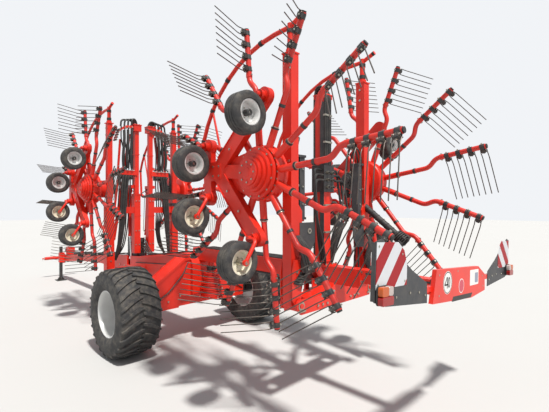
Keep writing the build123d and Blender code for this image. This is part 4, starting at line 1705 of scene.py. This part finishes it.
@dataclass
class RearTower:
    """Dress of the hose tower between the rear booms."""

    x: Flat = (-0.015, 0.105)
    y: Flat = (0.02, 0.14)
    foot: float = 1.43
    top: float = 3.34
    box: Flat = (2.26, 2.55)
    hose_r: float = 0.013

    def build(self) -> list[bpy.types.Object]:
        """Build the tower's dress on the chassis.

        Returns:
            The objects.
        """
        shape = Shape()
        x0, x1 = self.x
        y0, y1 = self.y
        shape.block((x0 - 0.004, y1, self.foot + 0.1), (x0 + 0.05, y1 + 0.006, self.top - 0.08), SOOT)
        shape.block((x0 - 0.02, y0 - 0.02, self.top), (x1 + 0.02, y1 + 0.02, self.top + 0.012), RED)
        for z in (self.foot + 0.02, self.foot + 0.05):
            shape.block((x0 - 0.012, y0 - 0.012, z), (x1 + 0.012, y1 + 0.012, z + 0.012), RED)
        for px in (x0 - 0.026, x1 + 0.026):
            for py in (-0.05, 0.02, 0.13):
                shape.stud((px, py, self.foot + 0.014), (0, 0, 0.016), 0.012)
        self._box(shape)
        self._hoses(shape)
        return [shape.finish("hose_tower_dress", "chassis")]

    def _box(self, shape: Shape) -> None:
        """Build the valve box's lid, knobs and fittings.

        Args:
            shape: Shape that takes the faces.
        """
        x0, x1 = self.x[0] - 0.026, self.x[1] + 0.026
        y0, y1 = self.y[0] - 0.031, self.y[1] + 0.031
        low, high = self.box
        shape.block((x0, y0, low - 0.004), (x1, y1, high + 0.004), BLACK)
        for z in (low + 0.05, low + 0.13, low + 0.21):
            for y in (y0 + 0.05, y1 - 0.05):
                shape.stud((x0, y, z), (-0.03, 0, 0), 0.017, sides=8)
                shape.stud((x0 - 0.03, y, z), (-0.02, 0, 0), 0.012, BLACK)

    def _hoses(self, shape: Shape) -> None:
        """Hang the hose loops to both sides of the box.

        Args:
            shape: Shape that takes the faces.
        """
        x0 = self.x[0]
        high = self.box[1]
        for n in range(3):
            near, step = x0 - 0.03 - 0.03 * n, 0.06 * n
            for sign in (-1, 1):
                out = 0.08 + sign * (0.20 + 0.03 * n)
                shape.hose(
                    [(near + 0.05, 0.08 + sign * 0.092, high - 0.05 - step),
                     (near + 0.05, out, high - 0.04 - step),
                     (near, out + sign * 0.03, 2.05 - 0.05 * n), (near + 0.06, 0.08 + sign * 0.12, 1.72),
                     (near + 0.06, 0.08 + sign * 0.07, 1.50), (near + 0.1, 0.06 + sign * 0.05, 1.42)],
                    self.hose_r, 0.1,
                )
        back = self.x[1]
        for n in range(4):
            y = self.y[1] - 0.004 - 0.03 * n
            crest = self.top + 0.10 - 0.01 * n
            shape.hose(
                [(x0 - 0.016, y, high), (x0 - 0.016, y, self.top - 0.02), (x0 + 0.02, y, crest),
                 (back - 0.01, y, crest), (back + 0.016, y, self.top - 0.02), (back + 0.016, y, 1.45)],
                self.hose_r, 0.05,
            )
        for z in (1.8, 2.1, 2.8, 3.1):
            shape.block((x0 - 0.032, self.y[0] + 0.01, z), (x0, self.y[1] + 0.012, z + 0.02), ZINC)


@dataclass
class RearEnd:
    """Panel, corner plates, striped boards and lamps behind the machine."""

    tilt: float = 3.5
    tilt_z: float = 1.45
    board_x: float = -1.415
    sheet: float = 0.006
    rear: float = -1.4345
    panel: tuple[Flat, ...] = (
        (0.585, 1.575), (0.645, 1.32), (-0.21, 1.28), (-0.59, 1.315), (-0.58, 1.47), (-0.39, 1.555),
    )
    plate: tuple[Flat, ...] = (
        (1.475, 1.425), (1.475, 1.795), (1.4, 1.812), (1.165, 1.7), (0.97, 1.592), (0.725, 1.486),
        (0.715, 1.336), (1.33, 1.384),
    )
    board: tuple[Flat, ...] = (
        (1.06, 1.5), (1.06, 1.64), (1.105, 1.735), (1.19, 1.79), (1.465, 1.79), (1.465, 1.5),
    )
    disc: Triple = (0.361, 1.46, 0.092)
    reflector: Flat = (0.052, 1.409)
    film: float = 0.0004

    def build(self) -> list[bpy.types.Object]:
        """Build the rear end on the chassis.

        Returns:
            The objects.
        """
        boards, lamps = Shape(), Shape()
        for side in Side:
            for shape in (boards, lamps):
                shape.sign = side.value
                shape.turn = self._about_x(self.tilt * side.value)
            self._corner(boards, side)
            self._lamp(lamps)
        panel = Shape()
        self._beam(panel)
        panel.turn = self._about_x(self.tilt)
        self._panel(panel)
        self._signs(panel)
        plates = boards.finish("corner_boards", "chassis", bevel=0.001)
        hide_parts("sign_boards")
        lenses = lamps.finish("rear_lamps", "chassis", bevel=0.003)
        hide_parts("tail_lamps")
        red = panel.finish("rear_panel_shell", "chassis", bevel=0.0004)
        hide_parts("rear_panel")
        return [plates, lenses, red]

    def _about_x(self, angle: float) -> Matrix:
        """Return the turn about the long axis that the rear end hangs with."""
        there = Matrix.Translation((0, 0, self.tilt_z))
        return there @ Matrix.Rotation(math.radians(angle), 4, "X") @ there.inverted()

    def _corner(self, shape: Shape, side: Side) -> None:
        """Build one corner plate with its board, screws and arm.

        Args:
            shape: Shape that takes the faces.
            side: Side of the machine.
        """
        x, t = self.board_x, self.sheet
        shape.slab(x - t, self.plate, t, SOOT)
        striped = BOARD_LEFT if side is Side.LEFT else BOARD_RIGHT
        shape.slab(x - t - 0.003, self.board, 0.003, striped)
        for y, z in ((1.09, 1.53), (1.44, 1.53), (1.44, 1.765), (1.13, 1.71)):
            shape.stud((x - t - 0.003, y, z), (-0.0025, 0, 0), 0.008, sides=8)
        for y, z in ((0.76, 1.40), (0.86, 1.43), (1.0, 1.44), (1.2, 1.43)):
            shape.stud((x - t, y, z), (-0.005, 0, 0), 0.009)
        shape.stud((x - t, 1.27, 1.44), (-0.004, 0, 0), 0.022, INK, 16)
        shape.slab(x, ((1.475, 1.43), (1.475, 1.79), (1.468, 1.79), (1.468, 1.43)), 0.022, SOOT)

    def _lamp(self, shape: Shape) -> None:
        """Build one rear lamp with its lenses.

        Args:
            shape: Shape that takes the faces.
        """
        x = self.board_x - 2 * self.sheet - 0.012
        shape.slab(x, self._rounded_box((1.325, 1.470), (1.405, 1.525), 0.022), 0.012, MOULDED)
        for reach, across, up, finish in (
            (0.036, (1.328, 1.467), (1.408, 1.463), LENS_RED),
            (0.034, (1.388, 1.467), (1.464, 1.522), LENS_AMBER),
            (0.032, (1.328, 1.387), (1.464, 1.522), LENS_CLEAR),
        ):
            shape.slab(x - reach, self._rounded_box(across, up, 0.014), reach, finish)
        x += 0.012
        shape.hose(
            [(x, 1.34, 1.46), (x + 0.03, 1.33, 1.45), (x + 0.045, 1.24, 1.43), (x + 0.05, 0.9, 1.43)],
            0.006, 0.02, sides=6, steps=4,
        )

    @staticmethod
    def _rounded_box(across: Flat, up: Flat, corner: float) -> list[Flat]:
        """Return a rectangle with arcs at its corners.

        Args:
            across: Lowest and highest Y.
            up: Lowest and highest Z.
            corner: Radius of the arcs.

        Returns:
            The outline in Y and Z.
        """
        out = []
        for cy, cz, first in (
            (across[1] - corner, up[1] - corner, 0), (across[0] + corner, up[1] - corner, 1),
            (across[0] + corner, up[0] + corner, 2), (across[1] - corner, up[0] + corner, 3),
        ):
            for k in range(5):
                a = math.pi / 2 * (first + k / 4)
                out.append((cy + corner * math.cos(a), cz + corner * math.sin(a)))
        return out

    def _beam(self, shape: Shape) -> None:
        """Build the beam that carries the rear end, with its bolts.

        Args:
            shape: Shape that takes the faces.
        """
        shape.block((self.rear + 0.03, -0.06, 1.29), (-0.42, 0.06, 1.43), RED)
        shape.block((-0.444, -0.078, 1.262), (-0.42, 0.078, 1.432), RED)
        for y in (-0.065, 0.065):
            for z in (1.31, 1.41):
                shape.stud((-0.444, y, z), (-0.014, 0, 0), 0.012)
        for x in (-1.2, -0.9, -0.6):
            shape.block((x, -0.065, 1.33), (x + 0.03, 0.065, 1.435), BLACK)
        shape.stud((-1.30, 0.066, 1.40), (0.8, 0, 0), 0.009, HOSE)

    def _panel(self, shape: Shape) -> None:
        """Build the panel with its folded edge and the cross arm.

        Args:
            shape: Shape that takes the faces.
        """
        shape.slab(self.rear, self.panel, 0.034, RED)
        x = self.board_x
        shape.block((x, -1.2, 1.41), (x + 0.04, 1.2, 1.45), RED)
        for y, z in ((0.53, 1.37), (0.53, 1.53), (-0.53, 1.36), (-0.5, 1.46), (0.14, 1.54)):
            shape.stud((self.rear, y, z), (-0.0014, 0, 0), 0.009, sides=8)

    def _signs(self, shape: Shape) -> None:
        """Build the round plate with its number, a plain reflector and the bare plates.

        Args:
            shape: Shape that takes the faces.
        """
        x, film = self.rear, self.film
        cy, cz, r = self.disc
        shape.slab(x - 0.0005, [(cy + r * c, cz + r * s) for c, s in circle(40)], film, PALE)
        self._loop(shape, (cy, cz), (r * 0.95, r * 0.95), 0.007, INK)
        self._loop(shape, (cy - 0.027, cz), (0.024, 0.044), 0.014, INK)
        for outline in (
            ((-0.002, -0.046), (0.012, -0.046), (0.012, 0.046), (-0.002, 0.046)),
            ((-0.052, -0.022), (0.022, -0.022), (0.022, -0.009), (-0.052, -0.009)),
            ((-0.052, -0.012), (-0.037, -0.012), (0.008, 0.046), (-0.008, 0.046)),
        ):
            shape.slab(x - 0.0011, [(cy + 0.014 - u, cz + v) for u, v in outline], 0.0006, INK)
        dy, dz = self.reflector
        for reach, depth, finish in ((0.062, 0.0005, PALE), (0.055, 0.0011, BOARD_TINT)):
            edge = [(dy + reach * c, dz + reach * s) for c, s in circle(32)]
            shape.slab(x - depth, edge, film, finish)
        shape.slab(x - 0.0005, self._rounded_box((-0.39, -0.16), (1.39, 1.53), 0.008), film, PALE)
        shape.slab(x - 0.0009, self._rounded_box((-0.375, -0.29), (1.41, 1.50), 0.006), film, SOOT_PALE)
        strip = ((0.27, 1.295), (0.235, 1.335), (-0.23, 1.325), (-0.19, 1.285))
        shape.slab(x - 0.0005, strip, film, INK)

    def _loop(self, shape: Shape, centre: Flat, size: Flat, width: float, finish: Finish) -> None:
        """Build a flat ring on the panel.

        Args:
            shape: Shape that takes the faces.
            centre: Y and Z of the ring's middle.
            size: Outer half sizes along Y and Z.
            width: Width of the ring.
            finish: Finish of the ring.
        """
        rings = []
        for c, s in [*circle(36), (1.0, 0.0)]:
            ring = []
            for cut, x in ((0, -0.0011), (width, -0.0011), (width, -self.film), (0, -self.film)):
                y = centre[0] + (size[0] - cut) * c
                ring.append(Vector((self.rear + x, y, centre[1] + (size[1] - cut) * s)))
            rings.append(ring)
        shape.rings(rings, finish, capped=False)


@dataclass
class Chassis:
    """Dress of the frame: bell, axle, side boxes, drawbar and its hoses."""

    bell_x: float = 2.3
    bell: tuple[Flat, ...] = ((0.69, 0.155), (0.77, 0.155), (0.85, 0.14), (0.93, 0.125), (1.01, 0.11))
    axle_x: float = 2.7
    wheel_z: float = 0.615
    pivot_y: float = 0.64

    def build(self) -> list[bpy.types.Object]:
        """Build the dress on the chassis.

        Returns:
            The objects.
        """
        middle = Shape()
        self._bell(middle)
        self._box(middle)
        self._drawbar(middle)
        made = [middle.finish("frame_dress", "chassis")]
        for side in Side:
            shape = Shape(side)
            self._axle(shape)
            self._side(shape)
            for mast in Mast:
                self._pivot(shape, mast)
            made.append(shape.finish(f"frame_dress_{side.word}", "chassis"))
        return made

    def _bell(self, shape: Shape) -> None:
        """Build the ridges, flange and bolts of the bell under the spine.

        Args:
            shape: Shape that takes the faces.
        """
        x = self.bell_x
        foot, up = (x, 0, 0), (0, 0, 1)
        for z, r in self.bell:
            for low in (z, z + 0.026, z + 0.052):
                shape.collar(foot, up, (low, low + 0.01), (r - 0.01, r + 0.006), RED, 36)
        shape.collar(foot, up, (0.683, 0.70), (0.05, 0.185), RED, 40)
        for c, s in circle(8):
            shape.stud((x + 0.17 * c, 0.17 * s, 0.70), (0, 0, 0.012), 0.011)
        neck = [(1.10, 0.044), (1.10, 0.07), (1.16, 0.075), (1.16, 0.044)]
        shape.turned(neck, foot, up, BLACK, 28, closed=True)
        for y in (-0.03, 0.03):
            shape.hose(
                [(x - 0.05, y, 1.12), (x - 0.3, y, 1.215), (x - 1.2, y * 1.5, 1.222), (0.9, y * 2, 1.222),
                 (0.84, y * 2, 1.222)],
                0.012, 0.12, steps=4,
            )

    def _box(self, shape: Shape) -> None:
        """Build the dark box on the frame between the front columns.

        Args:
            shape: Shape that takes the faces.
        """
        shape.block((4.70, -0.08, 1.09), (5.12, 0.08, 1.46), SOOT)
        shape.block((4.69, -0.087, 1.46), (5.13, 0.087, 1.475), PALE)
        for z in (1.18, 1.28, 1.38):
            shape.block((4.695, -0.084, z), (5.125, 0.084, z + 0.012), BLACK)
        for n in range(4):
            y, high = -0.055 + 0.036 * n, 1.42 - 0.05 * n
            shape.hose(
                [(4.70, y, high), (4.60, y, high), (4.50, y, 1.30), (4.30, y, 1.16), (3.2, y, 1.30),
                 (2.75, y, 1.352), (2.4, y * 1.6, 1.45), (0.4, y * 1.6, 1.449), (0.12, y + 0.08, 1.47)],
                0.012, 0.08, steps=4,
            )

    def _axle(self, shape: Shape) -> None:
        """Build the flanges and bolts of the axle arm, the wheel's hub and the hose.

        Args:
            shape: Shape that takes the faces.
        """
        x, wheel_z = self.axle_x, self.wheel_z
        web = ((0.21, 1.285), (0.305, 1.295), (0.882, 0.902), (0.882, 0.86), (0.30, 1.25), (0.21, 1.25))
        for start in (x - 0.152, x + 0.132):
            shape.slab(start, web, 0.02, RED)
        for y, z in ((0.4, 0.72), (0.6, 0.66), (0.78, 0.62)):
            for sign in (-1, 1):
                shape.stud((x + sign * 0.1405, y, z), (sign * 0.012, 0, 0), 0.014)
        hub = [
            (0.862, AXLE_BORE), (0.862, 0.11), (0.875, 0.115), (0.885, 0.1), (0.92, 0.085), (0.97, 0.08),
            (0.97, AXLE_BORE),
        ]
        shape.turned(hub, (x, 0, wheel_z), (0, 1, 0), BLACK, 36, closed=True)
        for c, s in circle(6):
            shape.stud((x + 0.098 * c, 0.885, wheel_z + 0.098 * s), (0, 0.013, 0), 0.01)
        shape.hose(
            [(x - 0.145, 0.84, 0.66), (x - 0.16, 0.6, 0.80), (x - 0.16, 0.35, 1.05), (x - 0.12, 0.2, 1.30),
             (x - 0.1, 0.08, 1.345)],
            0.009, 0.08, sides=6, steps=4,
        )

    def _side(self, shape: Shape) -> None:
        """Build the flange, ribs, dark label, bolts and hose of the side box.

        Args:
            shape: Shape that takes the faces.
        """
        flange = ((2.60, 1.335), (2.80, 1.335), (4.40, 1.128), (4.40, 1.10), (2.80, 1.305), (2.60, 1.305))
        shape.prism([(x, 0.2105, z) for x, z in flange], (0, 0.012, 0), RED)
        shape.block((2.9, 0.2095, 0.722), (5.40, 0.220, 0.75), RED)
        for x in (2.95, 3.5, 4.05):
            shape.block((x, 0.2095, 0.75), (x + 0.03, 0.218, 1.04), RED)
        label = ((3.1, 0.86), (3.42, 0.86), (3.42, 0.94), (3.1, 0.94))
        shape.prism([(x, 0.2095, z) for x, z in label], (0, 0.0015, 0), INK)
        for x in (4.46, 4.62, 4.98, 5.2):
            for z in (0.80, 0.90):
                shape.stud((x, 0.209, z), (0, 0.013, 0), 0.014)
        shape.hose(
            [(4.42, 0.232, 1.02), (3.4, 0.232, 1.10), (2.95, 0.232, 1.14), (2.86, 0.26, 1.16),
             (2.86, 0.42, 1.02)],
            0.009, 0.08, sides=6, steps=4,
        )

    def _pivot(self, shape: Shape, mast: Mast) -> None:
        """Build the washers, keeper plates and bolts of a fold pivot.

        Args:
            shape: Shape that takes the faces.
            mast: Mast at the pivot.
        """
        x, y, z = mast.value, self.pivot_y, mast.pivot_z
        for way in (-1, 1):
            start = x + way * 0.12
            near, far = sorted((start, start + way * 0.01))
            shape.collar((start, y, z), (way, 0, 0), (0, 0.006), (0.0255, 0.045), ZINC, 24)
            shape.block((near, y - 0.06, z - 0.062), (far, y + 0.06, z - 0.04), ZINC)
        for dy in (0.22, 0.30, 0.38):
            for way in (-1, 1):
                shape.stud((x + way * 0.12, dy, z - 0.04), (way * 0.012, 0, 0), 0.014)

    def _drawbar(self, shape: Shape) -> None:
        """Build the bolts of the neck, the hoses with their clips and the drive's shield.

        Args:
            shape: Shape that takes the faces.
        """
        for sign in (-1, 1):
            for x, z in ((5.02, 0.80), (5.02, 1.0), (5.3, 0.80), (5.3, 0.98), (5.5, 0.85), (5.5, 0.96)):
                shape.stud((x, sign * 0.149, z), (0, sign * 0.013, 0), 0.015)
            for n in range(3):
                lift = 0.025 + 0.002 * n
                y = sign * (0.03 + 0.025 * n)
                shape.hose(
                    [(4.95, y, 1.10), (5.25, y, 1.09 + lift), (5.62, y, 1.03 + lift), (6.5, y, 0.955 + lift),
                     (8.0, y, 0.845 + lift), (8.82, y, 0.80 + lift)],
                    0.011, 0.15, steps=4,
                )
        for x, z in ((5.9, 1.012), (6.7, 0.936), (7.6, 0.872), (8.4, 0.80)):
            shape.block((x, -0.093, z - 0.012), (x + 0.04, 0.093, z + 0.062), BLACK)
        shield = [(9.1, 0.035), (9.1, 0.075), (9.125, 0.075), (9.165, 0.09), (9.165, 0.082), (9.12, 0.035)]
        shape.turned(shield, (0, 0, 0.86), (1, 0, 0), MOULDED, 32, closed=True)
        for y in (-0.06, 0.06):
            for z in (0.74, 0.91):
                shape.stud((9.1, y, z), (0.012, 0, 0), 0.011)
        shape.collar((9.66, 0, 0), (0, 0, 1), (0.655, 0.682), (0.0305, 0.058), RED, 28)


@dataclass
class Hitch:
    """Dress of the headstock and of the parking stand."""

    pin_x: float = 9.92
    z: float = 0.57
    shoulder: float = 0.4125
    stand: Flat = (9.30, 0.16)

    def build(self) -> list[bpy.types.Object]:
        """Build the dress on the headstock and the stand.

        Returns:
            The objects.
        """
        head = Shape()
        for sign in (-1, 1):
            side = sign * self.shoulder
            end = side + sign * 0.046
            head.collar((self.pin_x, side, self.z), (0, sign, 0), (0, 0.008), (0.0184, 0.036), ZINC, 24)
            head.tube(
                [(self.pin_x, end, self.z - 0.014), (self.pin_x, end, self.z - 0.05),
                 (self.pin_x - 0.02, end, self.z - 0.055)],
                0.0035, ZINC, sides=6,
            )
        stand = Shape()
        x, y = self.stand
        for z in (0.62, 0.80):
            stand.stud((x - 0.036, y, z), (0.072, 0, 0), 0.009, BLACK, 12)
        for dx, dy in ((-1, 0), (1, 0), (0, -1), (0, 1)):
            near = (x + dx * 0.034 + dy * 0.004, y + dy * 0.034 + dx * 0.004)
            far = (near[0] + dx * 0.065, near[1] + dy * 0.065)
            fin = [(*near, 0.02), (*far, 0.02), (*near, 0.10)]
            stand.prism(fin, (-dy * 0.008, -dx * 0.008, 0), BLACK)
        return [
            head.finish("headstock_dress", "headstock"),
            stand.finish("stand_dress", "parking_stand"),
        ]


@dataclass
class Studio:
    """Camera, floor, world and sun."""

    camera_at: Point = (-2.62, 3.52, 2.1)
    camera_way: Point = (0.70711, -0.70711, 0.0)
    lens: float = 25.0
    sensor: float = 36.0
    sight: float = 200.0
    floor_half: float = 60.0
    floor_z: float = -0.002
    sky: float = 0.42
    sky_tint: Triple = (0.93, 0.96, 1.0)
    backdrop: float = 0.95
    backdrop_tint: Triple = (0.93, 0.95, 0.98)
    sun: float = 4.6
    sun_tint: Triple = (1.0, 0.97, 0.92)
    sun_angle: float = 4.0
    sun_way: Point = (0.51, -0.12, -1.0)

    def build(self) -> None:
        """Build the camera, the floor and the lights."""
        self._camera()
        self._floor()
        self._lights()

    def _camera(self) -> None:
        """Place the camera at the photograph's viewing angle."""
        data = bpy.data.cameras.new("view")
        data.lens = self.lens
        data.sensor_width = self.sensor
        data.clip_end = self.sight
        camera = bpy.data.objects.new("view", data)
        camera.location = (self.camera_at[0] - X_MID, self.camera_at[1], self.camera_at[2])
        camera.rotation_euler = Vector(self.camera_way).to_track_quat("-Z", "Y").to_euler()
        bpy.context.scene.collection.objects.link(camera)
        bpy.context.scene.camera = camera

    def _floor(self) -> None:
        """Lay the pale floor."""
        mesh = bpy.data.meshes.new("floor")
        half, z = self.floor_half, self.floor_z
        corners = [(-half, -half, z), (half, -half, z), (half, half, z), (-half, half, z)]
        mesh.from_pydata(corners, [], [(0, 1, 2, 3)])
        mesh.materials.append(FLOOR.material())
        floor = bpy.data.objects.new("floor", mesh)
        bpy.context.scene.collection.objects.link(floor)

    def _lights(self) -> None:
        """Set the world's light, its backdrop and the sun.

        The backdrop is what the camera and mirrored or refracted rays see; the rest is lit by the sky.
        """
        world = bpy.data.worlds.new("studio")
        world.use_nodes = True
        tree = world.node_tree
        back = tree.nodes["Background"]
        light = tree.nodes.new("ShaderNodeBackground")
        light.inputs["Color"].default_value = (*self.sky_tint, 1)
        light.inputs["Strength"].default_value = self.sky
        back.inputs["Color"].default_value = (*self.backdrop_tint, 1)
        back.inputs["Strength"].default_value = self.backdrop
        path = tree.nodes.new("ShaderNodeLightPath")
        mix = tree.nodes.new("ShaderNodeMixShader")
        seen = path.outputs["Is Camera Ray"]
        for ray in ("Is Glossy Ray", "Is Transmission Ray"):
            either = tree.nodes.new("ShaderNodeMath")
            either.operation = "MAXIMUM"
            tree.links.new(seen, either.inputs[0])
            tree.links.new(path.outputs[ray], either.inputs[1])
            seen = either.outputs[0]
        tree.links.new(seen, mix.inputs[0])
        tree.links.new(light.outputs[0], mix.inputs[1])
        tree.links.new(back.outputs[0], mix.inputs[2])
        tree.links.new(mix.outputs[0], tree.nodes["World Output"].inputs["Surface"])
        bpy.context.scene.world = world
        sun = bpy.data.lights.new("sun", "SUN")
        sun.energy = self.sun
        sun.angle = math.radians(self.sun_angle)
        sun.color = self.sun_tint
        lamp = bpy.data.objects.new("sun", sun)
        lamp.rotation_euler = Vector(self.sun_way).to_track_quat("-Z", "Y").to_euler()
        bpy.context.scene.collection.objects.link(lamp)


@dataclass
class Rake:
    """The whole machine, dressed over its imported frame."""

    rotor: TineRotor = field(default_factory=TineRotor)
    road_wheel: RoadWheel = field(default_factory=RoadWheel)
    carrier: Carrier = field(default_factory=Carrier)
    boom: Boom = field(default_factory=Boom)
    rear_cylinder: FoldCylinder = field(
        default_factory=lambda: FoldCylinder((0.125, 1.24), (0.55, 1.99), 0.735, BLACK)
    )
    front_cylinder: FoldCylinder = field(
        default_factory=lambda: FoldCylinder((0.205, 2.40), (0.15, 1.06), 0.90, RED)
    )
    column: FrontColumn = field(default_factory=FrontColumn)
    drive_guard: DriveGuard = field(default_factory=DriveGuard)
    tower: RearTower = field(default_factory=RearTower)
    rear_end: RearEnd = field(default_factory=RearEnd)
    chassis: Chassis = field(default_factory=Chassis)
    hitch: Hitch = field(default_factory=Hitch)
    casters: tuple[Caster, ...] = (
        Caster("top", -0.03, 3.13, 1, False),
        Caster("low", 0.085, 1.79, -1, True),
        Caster("fore_upper", 0.855, 2.745, 1, False),
        Caster("fore_lower", 0.855, 2.19, -1, True),
    )

    def dress_nodes(self, nodes: dict[str, bpy.types.Object]) -> None:
        """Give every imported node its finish.

        Args:
            nodes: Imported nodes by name.
        """
        special = {
            "parking_stand": BLACK,
            "fold_barrel_rear": BLACK,
            "fold_rod": CHROME,
            "sign_boards": SOOT,
            "tail_lamps": LENS_RED,
            "caster_wheel": TYRE,
            "main_wheel": TYRE,
        }
        for name, node in nodes.items():
            finish = next((f for stem, f in special.items() if name.startswith(stem)), RED)
            node.data.materials.clear()
            node.data.materials.append(finish.material())

    def build(self, nodes: dict[str, bpy.types.Object]) -> list[bpy.types.Object]:
        """Build every sub-assembly.

        Args:
            nodes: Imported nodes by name.

        Returns:
            The objects in the order they were built.
        """
        self.dress_nodes(nodes)
        made = [*self.chassis.build(), *self.tower.build(), *self.rear_end.build(), *self.hitch.build()]
        made += self.drive_guard.build(Side.RIGHT)
        for side in Side:
            made += self.road_wheel.build(side)
            made += self.column.build(side)
            for mast in Mast:
                made += self.rotor.build(mast, side)
                made += self.carrier.build(mast, side, self.casters)
                made += self.boom.build(mast, side)
                cylinder = self.rear_cylinder if mast is Mast.REAR else self.front_cylinder
                made += cylinder.build(mast, side)
                for caster in self.casters:
                    made += caster.build(mast, side)
        return made


def main() -> None:
    """Build the studio and the machine, and log each piece's face count."""
    logging.basicConfig(level=logging.INFO, format="%(message)s")
    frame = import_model()
    bpy.context.scene.view_settings.view_transform = "Standard"
    Studio().build()
    for piece in Rake().build(frame["nodes"]):
        log.info("%s: %d faces", piece.name, len(piece.data.polygons))


if __name__ == "__main__":
    main()
